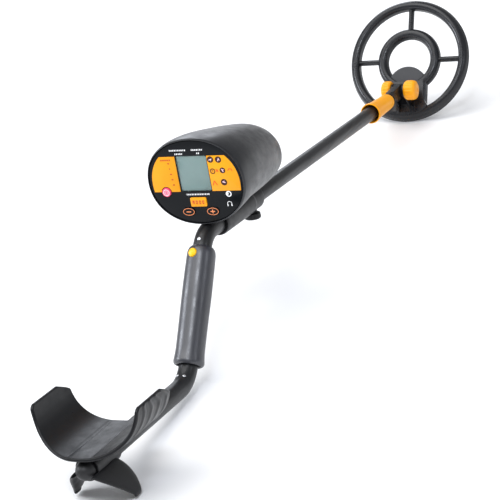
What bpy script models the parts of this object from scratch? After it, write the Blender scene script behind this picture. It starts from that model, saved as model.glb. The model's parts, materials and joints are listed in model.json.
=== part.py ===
"""Hand-held metal detector with a tilting round search coil, a telescoping shaft,
a hooded control box, an S-shaped handle rod, a pistol grip and an arm cradle.

All dimensions are in metres.  The parts are laid out in the shaft's own frame:
+X runs along the shaft towards the coil, +Y is the operator's left and +Z is up
from the shaft.  That frame is then tipped so the coil's rear edge and the two
stand feet touch the floor.
"""
import math

import bmesh
import bpy
import numpy as np
from mathutils import Vector

# ---- driving dimensions -------------------------------------------------
GAP = 0.0003             # air left between neighbouring parts
SHAFT_TIP = 7.80         # degrees the shaft climbs from the coil to the box

COIL_R = 0.105           # outside radius of the search coil
COIL_INNER_R = 0.0552    # outside radius of the inner (receive) ring
COIL_TOP = 0.0140        # height of the outer ring above the coil's base
COVER_T = 0.0022         # thickness of the bottom cover
LOBE_R = 0.0340          # half width of the pivot lobe
LOBE_X = -0.0453         # centre of the lobe's round end
PIVOT_COIL = (-0.0620, 0.0470)   # pivot axis in the coil's frame (x, z)
PIVOT_SHAFT = (0.2170, 0.0040)   # pivot axis in the shaft's frame (x, z)
COIL_ANGLE = 63.2        # degrees between the coil's plane and the shaft

SHAFT_R = 0.0110         # lower shaft, outside
SHAFT_WALL = 0.0016
SHAFT_FRONT = 0.1200
SHAFT_REAR = -0.5310
STEM_R = 0.0090          # inner stem that slides in the shaft
SLEEVE_FRONT = 0.1580
SLEEVE_REAR = 0.0720
SLEEVE_R = 0.0166

ROD_R = 0.0125           # S-shaped handle rod, outside
ROD_WALL = 0.0012
ROD_FRONT = -0.4120
ROD_CORNER = -0.5787     # where the shaft line and the grip line cross
ROD_DROP = -0.1660       # height of the rear rod's axis
ROD_REAR = -0.9650
GRIP_ANGLE = 56.4        # degrees the grip leans below the shaft line
BEND_TOP = 0.0400
BEND_LOW = 0.0480

GRIP_R = 0.0190
GRIP_FROM = 0.0190       # start of the grip, measured down from the corner
GRIP_TO = 0.1770
BUTTON_TURN = 13.0       # degrees the push-button sits left of the grip's middle

BOX_LEAN = 0.100         # forward shear of the box per metre of height
BOX_MID = 0.0675         # height of the middle of the face
FACE_S = 0.5813          # distance of the face plane behind the frame's origin

CUP_BOTTOM = -0.1500     # underside of the arm cradle
CUP_FRONT = 0.8630
CUP_REAR = 0.9830
CUP_T = 0.0044

CLAMP_X = -0.4220        # where the clamp's thumb knob sits

STAND_FOOT = (0.9265, 0.0400, -0.2130)
CRADLE_SCREWS = ((-0.9180, 0.0170), (-0.9480, -0.0170))

TAU = 2.0 * math.pi


# ---- scene --------------------------------------------------------------
def clear_scene():
    """Remove whatever the start-up scene holds."""
    for obj in list(bpy.data.objects):
        bpy.data.objects.remove(obj, do_unlink=True)


def material(name, rgb, rough, metal=0.0, alpha=1.0):
    """A plain Principled material."""
    mat = bpy.data.materials.new(name)
    mat.use_nodes = True
    shader = mat.node_tree.nodes["Principled BSDF"]
    shader.inputs["Base Color"].default_value = (rgb[0], rgb[1], rgb[2], 1.0)
    shader.inputs["Roughness"].default_value = rough
    shader.inputs["Metallic"].default_value = metal
    shader.inputs["Alpha"].default_value = alpha
    mat.diffuse_color = (rgb[0], rgb[1], rgb[2], alpha)
    return mat


def empty(name, location, rotation=(0.0, 0.0, 0.0), parent=None):
    """A frame that pieces hang from."""
    obj = bpy.data.objects.new(name, None)
    bpy.context.scene.collection.objects.link(obj)
    obj.location = location
    obj.rotation_euler = rotation
    obj.parent = parent
    return obj


def solid(name, verts, faces, mat, parent, location=(0.0, 0.0, 0.0), smooth=38.0):
    """Make one closed body, turn its faces outward and place it."""
    mesh = bpy.data.meshes.new(name)
    mesh.from_pydata([tuple(v) for v in verts], [], [tuple(f) for f in faces])
    bm = bmesh.new()
    bm.from_mesh(mesh)
    bmesh.ops.recalc_face_normals(bm, faces=bm.faces)
    if bm.calc_volume(signed=True) < 0.0:
        bmesh.ops.reverse_faces(bm, faces=bm.faces)
    bm.to_mesh(mesh)
    bm.free()
    obj = bpy.data.objects.new(name, mesh)
    bpy.context.scene.collection.objects.link(obj)
    obj.parent = parent
    obj.location = location
    mesh.materials.append(mat)
    soften(obj, smooth)
    return obj


def soften(obj, angle):
    """Smooth shading that stays crisp at edges steeper than the angle."""
    count = len(obj.data.polygons)
    obj.data.polygons.foreach_set("use_smooth", np.ones(count, dtype=bool))
    obj.data.set_sharp_from_angle(angle=math.radians(angle))


def combine(obj, tools, smooth=38.0):
    """Join or cut solids exactly, keep the result as the object's mesh."""
    for tool, how in tools:
        mod = obj.modifiers.new(how.lower(), "BOOLEAN")
        mod.operation = how
        mod.solver = "EXACT"
        mod.object = tool
    bpy.context.view_layer.update()
    graph = bpy.context.evaluated_depsgraph_get()
    mesh = bpy.data.meshes.new_from_object(obj.evaluated_get(graph))
    mat = obj.data.materials[0]
    obj.modifiers.clear()
    obj.data = mesh
    mesh.materials.clear()
    mesh.materials.append(mat)
    mesh.polygons.foreach_set("material_index", np.zeros(len(mesh.polygons), dtype=np.int32))
    mesh.name = obj.name
    for tool, _how in tools:
        bpy.data.objects.remove(tool, do_unlink=True)
    soften(obj, smooth)
    return obj


# ---- shape builders -----------------------------------------------------
def ring_faces(rings, segs, loop):
    """Quads between consecutive rings; loop also joins the last to the first."""
    faces = []
    last = rings if loop else rings - 1
    for i in range(last):
        a = i * segs
        b = ((i + 1) % rings) * segs
        for j in range(segs):
            k = (j + 1) % segs
            faces.append((a + j, a + k, b + k, b + j))
    if not loop:
        faces.append(tuple(range(segs)))
        faces.append(tuple(range((rings - 1) * segs, rings * segs)))
    return faces


def revolve(name, profile, axis, mat, parent, location=(0.0, 0.0, 0.0), segs=32,
            loop=False):
    """Turn a profile of (distance along the axis, radius) about X, Y or Z."""
    prof = np.array(profile, dtype=float)
    ang = np.arange(segs) * TAU / segs
    along = np.repeat(prof[:, 0:1], segs, axis=1)
    one = prof[:, 1:2] * np.cos(ang)[None, :]
    two = prof[:, 1:2] * np.sin(ang)[None, :]
    order = {"X": (along, one, two), "Y": (two, along, one), "Z": (one, two, along)}
    verts = np.stack(order[axis], axis=-1).reshape(-1, 3)
    faces = ring_faces(len(prof), segs, loop)
    return solid(name, verts, faces, mat, parent, location)


def block(name, low, high, mat, parent, location=(0.0, 0.0, 0.0)):
    """A rectangular block between two corners."""
    xs, ys, zs = [(low[i], high[i]) for i in range(3)]
    verts = [(x, y, z) for x in xs for y in ys for z in zs]
    faces = [(0, 1, 3, 2), (4, 6, 7, 5), (0, 4, 5, 1), (2, 3, 7, 6), (0, 2, 6, 4),
             (1, 5, 7, 3)]
    return solid(name, verts, faces, mat, parent, location)


def prism(name, outline, low, high, mat, parent, location=(0.0, 0.0, 0.0), axis="Z"):
    """A flat outline carried from one level to another along an axis."""
    pts = np.array(outline, dtype=float)
    rows = []
    for level in (low, high):
        lev = np.full(len(pts), level)
        order = {"Z": (pts[:, 0], pts[:, 1], lev), "Y": (pts[:, 0], lev, pts[:, 1]),
                 "X": (lev, pts[:, 0], pts[:, 1])}
        rows.append(np.stack(order[axis], axis=-1))
    verts = np.concatenate(rows)
    return solid(name, verts, ring_faces(2, len(pts), False), mat, parent, location)


def loft(name, rings, mat, parent, location=(0.0, 0.0, 0.0), loop=False):
    """Skin a list of equal rings of points."""
    count = len(rings[0])
    verts = np.concatenate([np.asarray(r, dtype=float) for r in rings])
    faces = ring_faces(len(rings), count, loop)
    return solid(name, verts, faces, mat, parent, location)


def arc(cx, cy, radius, start, end, count):
    """Points on an arc, angles in degrees."""
    ang = np.radians(np.linspace(start, end, count))
    return [(cx + radius * math.cos(a), cy + radius * math.sin(a)) for a in ang]


def rounded_box(width, height, radius, count=5):
    """Outline of a rectangle with rounded corners, centred on zero."""
    w = width / 2 - radius
    h = height / 2 - radius
    pts = arc(w, h, radius, 0, 90, count) + arc(-w, h, radius, 90, 180, count)
    return pts + arc(-w, -h, radius, 180, 270, count) + arc(w, -h, radius, 270, 360, count)


# ---- the handle rod's centre line ---------------------------------------
def rod_path():
    """Centre line of the S-shaped rod as (x, z, direction angle) rows."""
    turn = math.radians(GRIP_ANGLE)
    run = BEND_TOP * math.tan(turn / 2)
    rows = [(ROD_FRONT, 0.0, 0.0), (ROD_CORNER + run, 0.0, 0.0)]
    cx = ROD_CORNER + run
    cz = -BEND_TOP
    for a in np.linspace(0.0, turn, 6)[1:]:
        rows.append((cx - BEND_TOP * math.sin(a), cz + BEND_TOP * math.cos(a), a))
    reach = -ROD_DROP / math.sin(turn)
    lx = ROD_CORNER - reach * math.cos(turn)
    lrun = BEND_LOW * math.tan(turn / 2)
    # the second bend's centre lies above and behind its corner
    for a in np.linspace(turn, 0.0, 6):
        rows.append((lx - lrun + BEND_LOW * math.sin(a),
                     ROD_DROP + BEND_LOW * (1.0 - math.cos(a)), a))
    rows.append((ROD_REAR, ROD_DROP, 0.0))
    return rows


def swept_rings(rows, radius, segs):
    """Circles square to a centre line that stays in the XZ plane."""
    ang = np.arange(segs) * TAU / segs
    rings = []
    for x, z, a in rows:
        nx = -math.sin(a)
        nz = math.cos(a)
        ring = np.stack([x + radius * np.cos(ang) * nx, radius * np.sin(ang),
                         z + radius * np.cos(ang) * nz], axis=-1)
        rings.append(ring)
    return rings


# ---- search coil --------------------------------------------------------
def lobe_outline(half, end_r, back):
    """The pivot lobe's plan: straight sides and a round front end."""
    pts = arc(LOBE_X, 0.0, end_r, 90, -90, 17)
    return pts + [(back, -half), (back, half)]


def coil_plan(name, low, high, mat, parent, tag):
    """Union of rings, spokes and lobe at constant height: the cover's shape."""
    outer = revolve(name, [(low, 0.0868), (high, 0.0868), (high, COIL_R - 0.0008),
                           (low, COIL_R)], "Z", mat, parent, segs=48, loop=True)
    inner = revolve(tag + "_a", [(low, 0.0368), (high, 0.0368), (high, COIL_INNER_R),
                                 (low, COIL_INNER_R)], "Z", mat, parent, segs=36,
                    loop=True)
    tools = [(inner, "UNION")]
    for x0, x1, y0, y1 in ((0.052, 0.089, -0.0042, 0.0042),
                           (-0.0042, 0.0042, 0.052, 0.089),
                           (-0.0042, 0.0042, -0.089, -0.052)):
        bar = block(tag + "_b", (x0, y0, low), (x1, y1, high), mat, parent)
        tools.append((bar, "UNION"))
    tongue = prism(tag + "_c", lobe_outline(LOBE_R, LOBE_R, -0.0930), low, high, mat,
                   parent)
    tools.append((tongue, "UNION"))
    return combine(outer, tools)


def build_coil(mats, root):
    """The coil's shell, cover and windings, and the pivot hardware."""
    px, pz = PIVOT_COIL
    frame = empty("coil_frame", (PIVOT_SHAFT[0], 0.0, PIVOT_SHAFT[1]),
                  (0.0, -math.radians(COIL_ANGLE), 0.0), root)
    base = empty("coil_base", (-px, 0.0, -pz), parent=frame)
    low = COVER_T + GAP
    top = COIL_TOP
    shell = revolve("coil_top_shell",
                    [(low, COIL_R - 0.0009), (0.0050, COIL_R - 0.0016),
                     (0.0090, 0.1020), (0.0124, 0.0990), (top, 0.0956),
                     (top, 0.0930), (0.0128, 0.0900), (0.0095, 0.0878),
                     (low, 0.0868)],
                    "Z", mats["shell"], base, segs=48, loop=True)
    inner = revolve("t1", [(low, COIL_INNER_R - 0.0003), (0.0070, 0.0543),
                           (0.0110, 0.0518), (0.0128, 0.0485), (0.0128, 0.0430),
                           (0.0110, 0.0402), (0.0070, 0.0380), (low, 0.0368)],
                    "Z", mats["shell"], base, segs=36, loop=True)
    tools = [(inner, "UNION")]
    for along in (0, 1, 2):
        sec = [(-0.0042, low), (0.0042, low), (0.0042, 0.0060), (0.0020, 0.0086),
               (-0.0020, 0.0086), (-0.0042, 0.0060)]
        if along == 0:
            bar = prism("t2", sec, 0.0530, 0.0885, mats["shell"], base, axis="X")
        elif along == 1:
            bar = prism("t2", sec, 0.0530, 0.0885, mats["shell"], base, axis="Y")
        else:
            bar = prism("t2", sec, -0.0885, -0.0530, mats["shell"], base, axis="Y")
        tools.append((bar, "UNION"))
    tongue = prism("t3", lobe_outline(LOBE_R, LOBE_R, -0.0935), low, 0.0105,
                   mats["shell"], base)
    tools.append((tongue, "UNION"))
    housing = prism("t4", [(-0.0935, -0.0320), (-0.0400, -0.0320), (-0.0370, -0.0290),
                           (-0.0370, 0.0290), (-0.0400, 0.0320), (-0.0935, 0.0320)],
                    0.0060, 0.0150, mats["shell"], base)
    tools.append((housing, "UNION"))
    for side in (-1.0, 1.0):
        ear = [(px - 0.0190, 0.0120), (px + 0.0190, 0.0120)]
        ear += arc(px, pz, 0.0115, -8, 188, 13)
        y0 = min(side * 0.0084, side * 0.0112)
        y1 = max(side * 0.0084, side * 0.0112)
        lug = prism("t5", ear, y0, y1, mats["shell"], base, axis="Y")
        tools.append((lug, "UNION"))
    bore = revolve("t6", [(-0.0200, 0.0034), (0.0200, 0.0034)], "Y", mats["shell"], base,
                   (px, 0.0, pz), segs=12)
    tools.append((bore, "DIFFERENCE"))
    chan = revolve("t7", [(-0.0010, 0.0905), (0.0100, 0.0912), (0.0108, 0.0950),
                          (0.0085, 0.0985), (-0.0010, 0.1008)],
                   "Z", mats["shell"], base, segs=44, loop=True)
    tools.append((chan, "DIFFERENCE"))
    chan = revolve("t8", [(-0.0010, 0.0402), (0.0090, 0.0418), (0.0090, 0.0492),
                          (-0.0010, 0.0520)],
                   "Z", mats["shell"], base, segs=32, loop=True)
    tools.append((chan, "DIFFERENCE"))
    pocket = prism("t9", [(-0.0940, -0.0100), (-0.0790, -0.0100), (-0.0790, 0.0100),
                          (-0.0940, 0.0100)], 0.0128, 0.0200, mats["shell"], base)
    tools.append((pocket, "DIFFERENCE"))
    combine(shell, tools)
    coil_plan("coil_bottom_cover", 0.0, COVER_T, mats["cover"], base, "u")
    ring = arc(0.0056, 0.0952, 0.0028, 0, 300, 6)
    revolve("transmit_winding", ring, "Z", mats["copper"], base, segs=36, loop=True)
    ring = arc(0.0052, 0.0456, 0.0022, 0, 300, 6)
    revolve("receive_winding", ring, "Z", mats["copper"], base, segs=28, loop=True)
    revolve("pivot_bolt", [(-0.0272, 0.0026), (-0.0266, 0.0030), (0.0234, 0.0030),
                           (0.0240, 0.0026)], "Y", mats["steel"], frame, segs=12)
    # the right knob is the taller of the two
    for side, word, tall in ((-1.0, "right", 1.0), (1.0, "left", 0.82)):
        near = 0.0115
        prof = [(0.0166, 0.0033), (0.0, 0.0033), (0.0, 0.0138), (0.0012, 0.0155),
                (0.0040, 0.0163), (0.0140, 0.0163), (0.0176, 0.0148), (0.0194, 0.0118),
                (0.0202, 0.0060)]
        prof = [(side * (near + tall * a), r) for a, r in prof]
        revolve("pivot_knob_" + word, prof, "Y", mats["orange"], frame, segs=24)
        wash = [(side * 0.0065, 0.0034), (side * 0.0065, 0.0098),
                (side * 0.0081, 0.0098), (side * 0.0081, 0.0034)]
        revolve("friction_washer_" + word, wash, "Y", mats["rubber"], frame, segs=24,
                loop=True)
    return frame


# ---- lower stem, lock and shaft -----------------------------------------
def build_shaft(mats, root):
    """Yoke and stem, twist lock, and the telescoping shaft."""
    px, pz = PIVOT_SHAFT
    stem = empty("stem_frame", (0.0, 0.0, 0.0), parent=root)
    yoke = revolve("lower_yoke", [(-0.0062, 0.0112), (0.0062, 0.0112)], "Y",
                   mats["black"], stem, (px, 0.0, pz), segs=32)
    web = prism("t1", [(0.1700, -0.0105), (px - 0.0010, pz - 0.0108),
                       (px - 0.0010, pz + 0.0108), (0.1700, 0.0120)],
                -0.0062, 0.0062, mats["black"], stem, axis="Y")
    neck = revolve("t2", [(SLEEVE_FRONT + 0.0005, 0.0112), (0.1600, 0.0121),
                          (0.1720, 0.0121), (0.1780, 0.0108), (0.1830, 0.0066)],
                   "X", mats["black"], stem,
                   segs=32)
    spigot = revolve("t3", [(0.1200, 0.0070), (0.1600, 0.0070)], "X", mats["black"],
                     stem, segs=24)
    bore = revolve("t4", [(-0.0200, 0.0033), (0.0200, 0.0033)], "Y", mats["black"], stem,
                   (px, 0.0, pz), segs=12)
    combine(yoke, [(web, "UNION"), (neck, "UNION"), (spigot, "UNION"),
                   (bore, "DIFFERENCE")])
    hollow = STEM_R - 0.0017
    revolve("stem_tube", [(SLEEVE_FRONT, STEM_R), (SLEEVE_FRONT, hollow),
                          (-0.0300, hollow), (-0.0300, STEM_R)], "X", mats["shaft"],
            stem, segs=28, loop=True)
    lock = empty("lock_frame", (0.0, 0.0, 0.0), parent=root)
    a = SLEEVE_REAR
    b = SLEEVE_FRONT
    revolve("lock_sleeve",
            [(b, STEM_R + GAP), (b, 0.0114), (b - 0.0030, 0.0126), (b - 0.0100, 0.0131),
             (b - 0.0350, 0.0136), (a + 0.0260, 0.0144), (a + 0.0110, 0.0156),
             (a + 0.0030, SLEEVE_R), (a, 0.0161), (a, 0.0146), (a + 0.0100, 0.0136),
             (a + 0.0220, SHAFT_R + GAP),
             (b - 0.0080, SHAFT_R + GAP), (b - 0.0080, STEM_R + GAP)],
            "X", mats["orange"], lock, segs=28, loop=True)
    revolve("lock_collet", [(0.1210, STEM_R + GAP), (0.1210, 0.0110),
                            (0.1460, 0.0110), (0.1490, 0.0098), (0.1490, STEM_R + GAP)],
            "X", mats["rubber"], root, segs=28, loop=True)
    bore_r = SHAFT_R - SHAFT_WALL
    revolve("shaft_tube", [(SHAFT_FRONT, SHAFT_R), (SHAFT_FRONT, bore_r),
                           (SHAFT_REAR, bore_r), (SHAFT_REAR, SHAFT_R)], "X",
            mats["shaft"], root, segs=32, loop=True)
    revolve("shaft_end_plug", [(SHAFT_REAR + 0.0120, 0.0080),
                               (SHAFT_REAR + 0.0120, bore_r - GAP),
                               (SHAFT_REAR - GAP, bore_r - GAP),
                               (SHAFT_REAR - GAP, 0.0108),
                               (SHAFT_REAR - 0.0030, 0.0100)],
            "X", mats["rubber"], root, segs=24)


# ---- handle -------------------------------------------------------------
def grip_frame(root):
    """A frame on the grip line: its +Z runs down the grip from the corner."""
    turn = math.radians(GRIP_ANGLE)
    # +Z must point to (-cos, 0, -sin): a turn about Y
    angle = math.atan2(-math.cos(turn), -math.sin(turn))
    return empty("grip_frame", (ROD_CORNER, 0.0, 0.0), (0.0, angle, 0.0), root)


def build_handle(mats, root):
    """S-shaped rod, clamp housing, grip, end cap and their small hardware."""
    rows = rod_path()
    outer = swept_rings(rows, ROD_R, 20)
    inner = swept_rings(rows, ROD_R - ROD_WALL, 20)
    rod = loft("handle_rod", outer + inner[::-1], mats["shaft"], root, loop=True)
    hole = revolve("t1", [(-0.0180, 0.0032), (-0.0080, 0.0032)], "Z", mats["shaft"], root,
                   (CLAMP_X, 0.0, 0.0), segs=12)
    combine(rod, [(hole, "DIFFERENCE")])
    back = ROD_REAR
    inside = ROD_R - ROD_WALL - GAP
    revolve("rod_end_cap", [(back + 0.0180, 0.0090), (back + 0.0180, inside),
                            (back - GAP, inside), (back - GAP, 0.0122),
                            (back - 0.0020, 0.0124), (back - 0.0070, 0.0116),
                            (back - 0.0120, 0.0086), (back - 0.0148, 0.0048),
                            (back - 0.0158, 0.0016)],
            "X", mats["rubber"], root, (0.0, 0.0, ROD_DROP), segs=28)
    bore = ROD_R + GAP
    house = revolve("clamp_housing", [(-0.4080, bore), (-0.4080, 0.0150),
                                      (-0.4105, 0.0158), (-0.4360, 0.0158),
                                      (-0.4400, 0.0168), (-0.5330, 0.0168),
                                      (-0.5360, 0.0160), (-0.5360, bore)],
                    "X", mats["black"], root, segs=24, loop=True)
    saddle = block("t2", (-0.5300, -0.0120, 0.0131), (-0.4340, 0.0120, 0.0180),
                   mats["black"], root)
    boss = revolve("t3", [(-0.0172, 0.0070), (-0.0140, 0.0070)], "Z", mats["black"], root,
                   (CLAMP_X, 0.0, 0.0), segs=20)
    hole = revolve("t4", [(-0.0200, 0.0032), (-0.0080, 0.0032)], "Z", mats["black"], root,
                   (CLAMP_X, 0.0, 0.0), segs=12)
    tools = [(saddle, "UNION"), (boss, "UNION"), (hole, "DIFFERENCE")]
    for x in (-0.4520, -0.5150):
        pilot = revolve("t5", [(0.0150, 0.0013), (0.0250, 0.0013)], "Z", mats["black"],
                        root, (x, 0.0, 0.0), segs=12)
        tools.append((pilot, "DIFFERENCE"))
    combine(house, tools)
    knob = empty("clamp_knob_frame", (CLAMP_X, 0.0, 0.0), parent=root)
    prof = [(-0.0175, 0.0031), (-0.0175, 0.0092), (-0.0188, 0.0114), (-0.0246, 0.0118),
            (-0.0266, 0.0106), (-0.0275, 0.0070), (-0.0275, 0.0031)]
    body = revolve("clamp_knob", prof, "Z", mats["black"], knob, segs=24, loop=True)
    lobes = []
    for k in range(6):
        ang = TAU * (k + 0.5) / 6
        cut = revolve("t6", [(-0.0290, 0.0030), (-0.0192, 0.0030)], "Z", mats["black"],
                      knob, (0.0138 * math.cos(ang), 0.0138 * math.sin(ang), 0.0),
                      segs=8)
        lobes.append((cut, "DIFFERENCE"))
    combine(body, lobes)
    revolve("clamp_screw", [(-0.0113, 0.0022), (-0.0118, 0.0028), (-0.0266, 0.0028),
                            (-0.0271, 0.0024)], "Z", mats["steel"], knob, segs=12)
    build_grip(mats, root)


def build_grip(mats, root):
    """The moulded grip with its push-button, and the rod's small screws."""
    frame = grip_frame(root)
    a = GRIP_FROM
    b = GRIP_TO
    bore = ROD_R + GAP
    prof = [(a, bore), (a, 0.0142), (a + 0.0020, 0.0163), (a + 0.0060, 0.0183),
            (a + 0.0110, GRIP_R), (a + 0.0600, GRIP_R + 0.0006), (a + 0.1100, GRIP_R),
            (b - 0.0180, GRIP_R), (b - 0.0090, GRIP_R + 0.0008),
            (b - 0.0050, GRIP_R + 0.0012), (b - 0.0020, GRIP_R + 0.0006),
            (b, GRIP_R - 0.0012), (b, 0.0160), (b - 0.0120, bore)]
    grip = revolve("hand_grip", prof, "Z", mats["grip"], frame, segs=28, loop=True)
    # the button's frame: +Z leaves the grip towards the operator, a little to the left
    spot = empty("grip_button_frame", (0.0, 0.0, a + 0.0120),
                 (0.0, math.radians(90.0), math.radians(BUTTON_TURN)), frame)
    hole = revolve("t1", [(0.0100, 0.0064), (0.0300, 0.0064)], "Z", mats["grip"], spot,
                   segs=24)
    combine(grip, [(hole, "DIFFERENCE")])
    revolve("grip_button", [(0.0150, 0.0055), (0.0152, 0.0061), (0.0195, 0.0061),
                            (0.0204, 0.0054), (0.0209, 0.0036), (0.0211, 0.0014)],
            "Z", mats["yellow"], spot, segs=24)
    revolve("grip_switch", [(0.0129, 0.0042), (0.0136, 0.0042), (0.0137, 0.0022),
                            (0.0140, 0.0018)], "Z", mats["steel"], spot, segs=12)
    turn = math.radians(45.0)
    x = ROD_CORNER + BEND_TOP * math.tan(math.radians(GRIP_ANGLE) / 2)
    spot = empty("neck_screw_frame", (x, 0.0, -BEND_TOP), (0.0, -turn, 0.0), root)
    r = BEND_TOP + ROD_R
    revolve("neck_screw", [(r + GAP, 0.0026), (r + 0.0008, 0.0026), (r + 0.0016, 0.0018),
                           (r + 0.0018, 0.0006)], "Z", mats["steel"], spot, segs=12)
    low = rod_path()[-4]
    for side, word in ((-1.0, "right"), (1.0, "left")):
        spot = empty("rod_screw_frame_" + word, (low[0], 0.0, low[1]),
                     (side * math.radians(-22.0), -low[2], 0.0), root)
        revolve("rod_screw_" + word,
                [(ROD_R + GAP, 0.0022), (ROD_R + 0.0008, 0.0022),
                 (ROD_R + 0.0014, 0.0014), (ROD_R + 0.0015, 0.0005)],
                "Z", mats["steel"], spot, segs=12)


# ---- arm cradle and stand -----------------------------------------------
def cup_curve(span):
    """The cradle's cross-section (y, z) at places from -1 (right tip) to 1 (left)."""
    keys = np.array([(-0.0690, -0.0940), (-0.0676, -0.1030), (-0.0645, -0.1140),
                     (-0.0585, -0.1255), (-0.0480, -0.1361), (-0.0340, -0.1435),
                     (-0.0180, -0.1473), (0.0, CUP_BOTTOM + CUP_T / 2)])
    keys = np.concatenate([keys, (keys[:-1] * np.array([-1.0, 1.0]))[::-1]])
    step = np.concatenate([[0.0], np.cumsum(np.hypot(*np.diff(keys, axis=0).T))])
    want = (np.asarray(span) + 1.0) * 0.5 * step[-1]
    return np.stack([np.interp(want, step, keys[:, i]) for i in (0, 1)], axis=-1)


def build_cradle(mats, root):
    """The U-shaped arm cradle, its two screws from below and the stand under it."""
    half = np.array([0.0, 0.12, 0.24, 0.36, 0.48, 0.60, 0.72, 0.82, 0.88, 0.92, 0.96, 1.0])
    span = np.concatenate([-half[:0:-1], half])
    mid = cup_curve(span)
    tangent = np.gradient(mid, axis=0)
    tangent /= np.linalg.norm(tangent, axis=1)[:, None]
    normal = np.stack([-tangent[:, 1], tangent[:, 0]], axis=-1)
    upper = mid + normal * CUP_T / 2
    lower = mid - normal * CUP_T / 2
    # the rear lip reaches furthest back at the bottom; the front corners are cut off
    cut = np.clip((np.abs(span) - 0.86) / 0.14, 0.0, 1.0)
    tip = np.clip((np.abs(span) - 0.92) / 0.08, 0.0, 1.0)
    front = CUP_FRONT + 0.0270 * cut ** 1.3
    rear = CUP_REAR - 0.0300 * (1.0 - (1.0 - span ** 2) ** 2.5) - 0.0080 * tip ** 3
    rings = []
    for t in np.linspace(0.0, 1.0, 5):
        xs = -(front + (rear - front) * t)
        top = np.stack([xs, upper[:, 0], upper[:, 1]], axis=-1)
        low = np.stack([xs, lower[:, 0], lower[:, 1]], axis=-1)[::-1]
        rings.append(np.concatenate([top, low]))
    cup = loft("arm_cradle", rings, mats["shell"], root)
    tools = []
    for x, y in CRADLE_SCREWS:
        hole = revolve("t1", [(-0.1600, 0.0015), (-0.1468, 0.0015)], "Z", mats["shell"],
                       root, (x, y, 0.0), segs=12)
        tools.append((hole, "DIFFERENCE"))
    combine(cup, tools)
    build_stand(mats, root)
    for (x, y), word in zip(CRADLE_SCREWS, ("front", "rear")):
        revolve("cradle_screw_" + word,
                [(-0.1470, 0.0008), (-0.1474, 0.0012), (-0.1537, 0.0012),
                 (-0.1537, 0.0026), (-0.1548, 0.0024), (-0.1553, 0.0012)],
                "Z", mats["steel"], root, (x, y, 0.0), segs=16)


def build_stand(mats, root):
    """A clamp block round the rod with two splayed blade legs."""
    bore = ROD_R + GAP
    stand = revolve("stand", [(-0.9050, bore), (-0.9050, 0.0152), (-0.9640, 0.0152),
                              (-0.9640, bore)], "X", mats["black"], root,
                    (0.0, 0.0, ROD_DROP), segs=32, loop=True)
    pad = block("t1", (-0.9620, -0.0200, -0.1534), (-0.9050, 0.0200, CUP_BOTTOM - GAP),
                mats["black"], root)
    tools = []
    fx, fy, fz = STAND_FOOT
    for side in (-1.0, 1.0):
        rings = []
        for t in np.linspace(0.0, 1.0, 9):
            half = 0.0085 + 0.0225 * (1.0 - t ** 1.6)
            thick = 0.0026 - 0.0006 * t
            y = side * (0.0125 + (fy - 0.0125) * t ** 0.8)
            z = -0.1700 + (fz + 0.0040 + 0.1700) * t
            x = -(fx + 0.0235 * (1.0 - t) ** 1.6)
            sec = rounded_box(2 * half, 2 * thick, thick * 0.98, 3)
            rings.append([(x + p, y + side * q * 0.86, z + q * 0.5) for p, q in sec])
        toe = [(x + p * 0.7, y + side * q * 0.6, fz) for p, q in sec]
        rings.append(toe)
        leg = loft("t2", rings, mats["black"], root)
        tools.append((leg, "UNION"))
    # keep the bore clear of the legs
    core = revolve("t3", [(-0.8700, bore), (-0.9950, bore)], "X", mats["black"], root,
                   (0.0, 0.0, ROD_DROP), segs=32)
    tools = [(pad, "UNION")] + tools + [(core, "DIFFERENCE")]
    for x, y in CRADLE_SCREWS:
        hole = revolve("t4", [(-0.1600, 0.0015), (-0.1400, 0.0015)], "Z", mats["black"],
                       root, (x, y, 0.0), segs=12)
        tools.append((hole, "DIFFERENCE"))
    combine(stand, tools)


# ---- control box --------------------------------------------------------
HOOD = np.array([
    # distance behind the origin, half width, top, bottom
    (0.5813, 0.0681, 0.1283, 0.0116),
    (0.5770, 0.0694, 0.1292, 0.0122),
    (0.5600, 0.0700, 0.1298, 0.0146),
    (0.5300, 0.0687, 0.1272, 0.0190),
    (0.4840, 0.0632, 0.1202, 0.0192),
    (0.4440, 0.0568, 0.1132, 0.0194),
    (0.4100, 0.0486, 0.1055, 0.0200),
    (0.3860, 0.0388, 0.0924, 0.0220),
    (0.3690, 0.0258, 0.0780, 0.0270),
    (0.3612, 0.0122, 0.0642, 0.0360),
])
OVAL = 2.0 / 2.12        # 1 would be an ellipse, less is squarer


def hood_ring(row, inset, count=36):
    """One oval section of the hood, pulled in by the inset."""
    s, half, top, bottom = row
    mid = 0.5 * (top + bottom)
    high = 0.5 * (top - bottom) - inset
    wide = half - inset
    ang = np.arange(count) * TAU / count
    c = np.sign(np.cos(ang)) * np.abs(np.cos(ang)) ** OVAL
    v = np.sign(np.sin(ang)) * np.abs(np.sin(ang)) ** OVAL
    y = wide * c
    z = mid + high * v
    s = s + BOX_LEAN * (z - BOX_MID)
    return np.stack([-s, y, z], axis=-1)


def hood_solid(name, inset, first, last, mat, root, grow=0.0):
    """The hood's outer skin filled in, for cutting doors and cavities."""
    rows = HOOD.copy()[first:last]
    rows[0, 0] += grow
    rings = [hood_ring(r, inset) for r in rows]
    return loft(name, rings, mat, root)


def door_tool(name, shrink, mat, root):
    """Block that marks out the battery door on the box's left side."""
    return prism(name, [(a - 0.4860, b + 0.0700) for a, b in
                        rounded_box(0.0700 - shrink, 0.0420 - shrink, 0.0050, 4)],
                 0.0300, 0.0900, mat, root, axis="Y")


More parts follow.
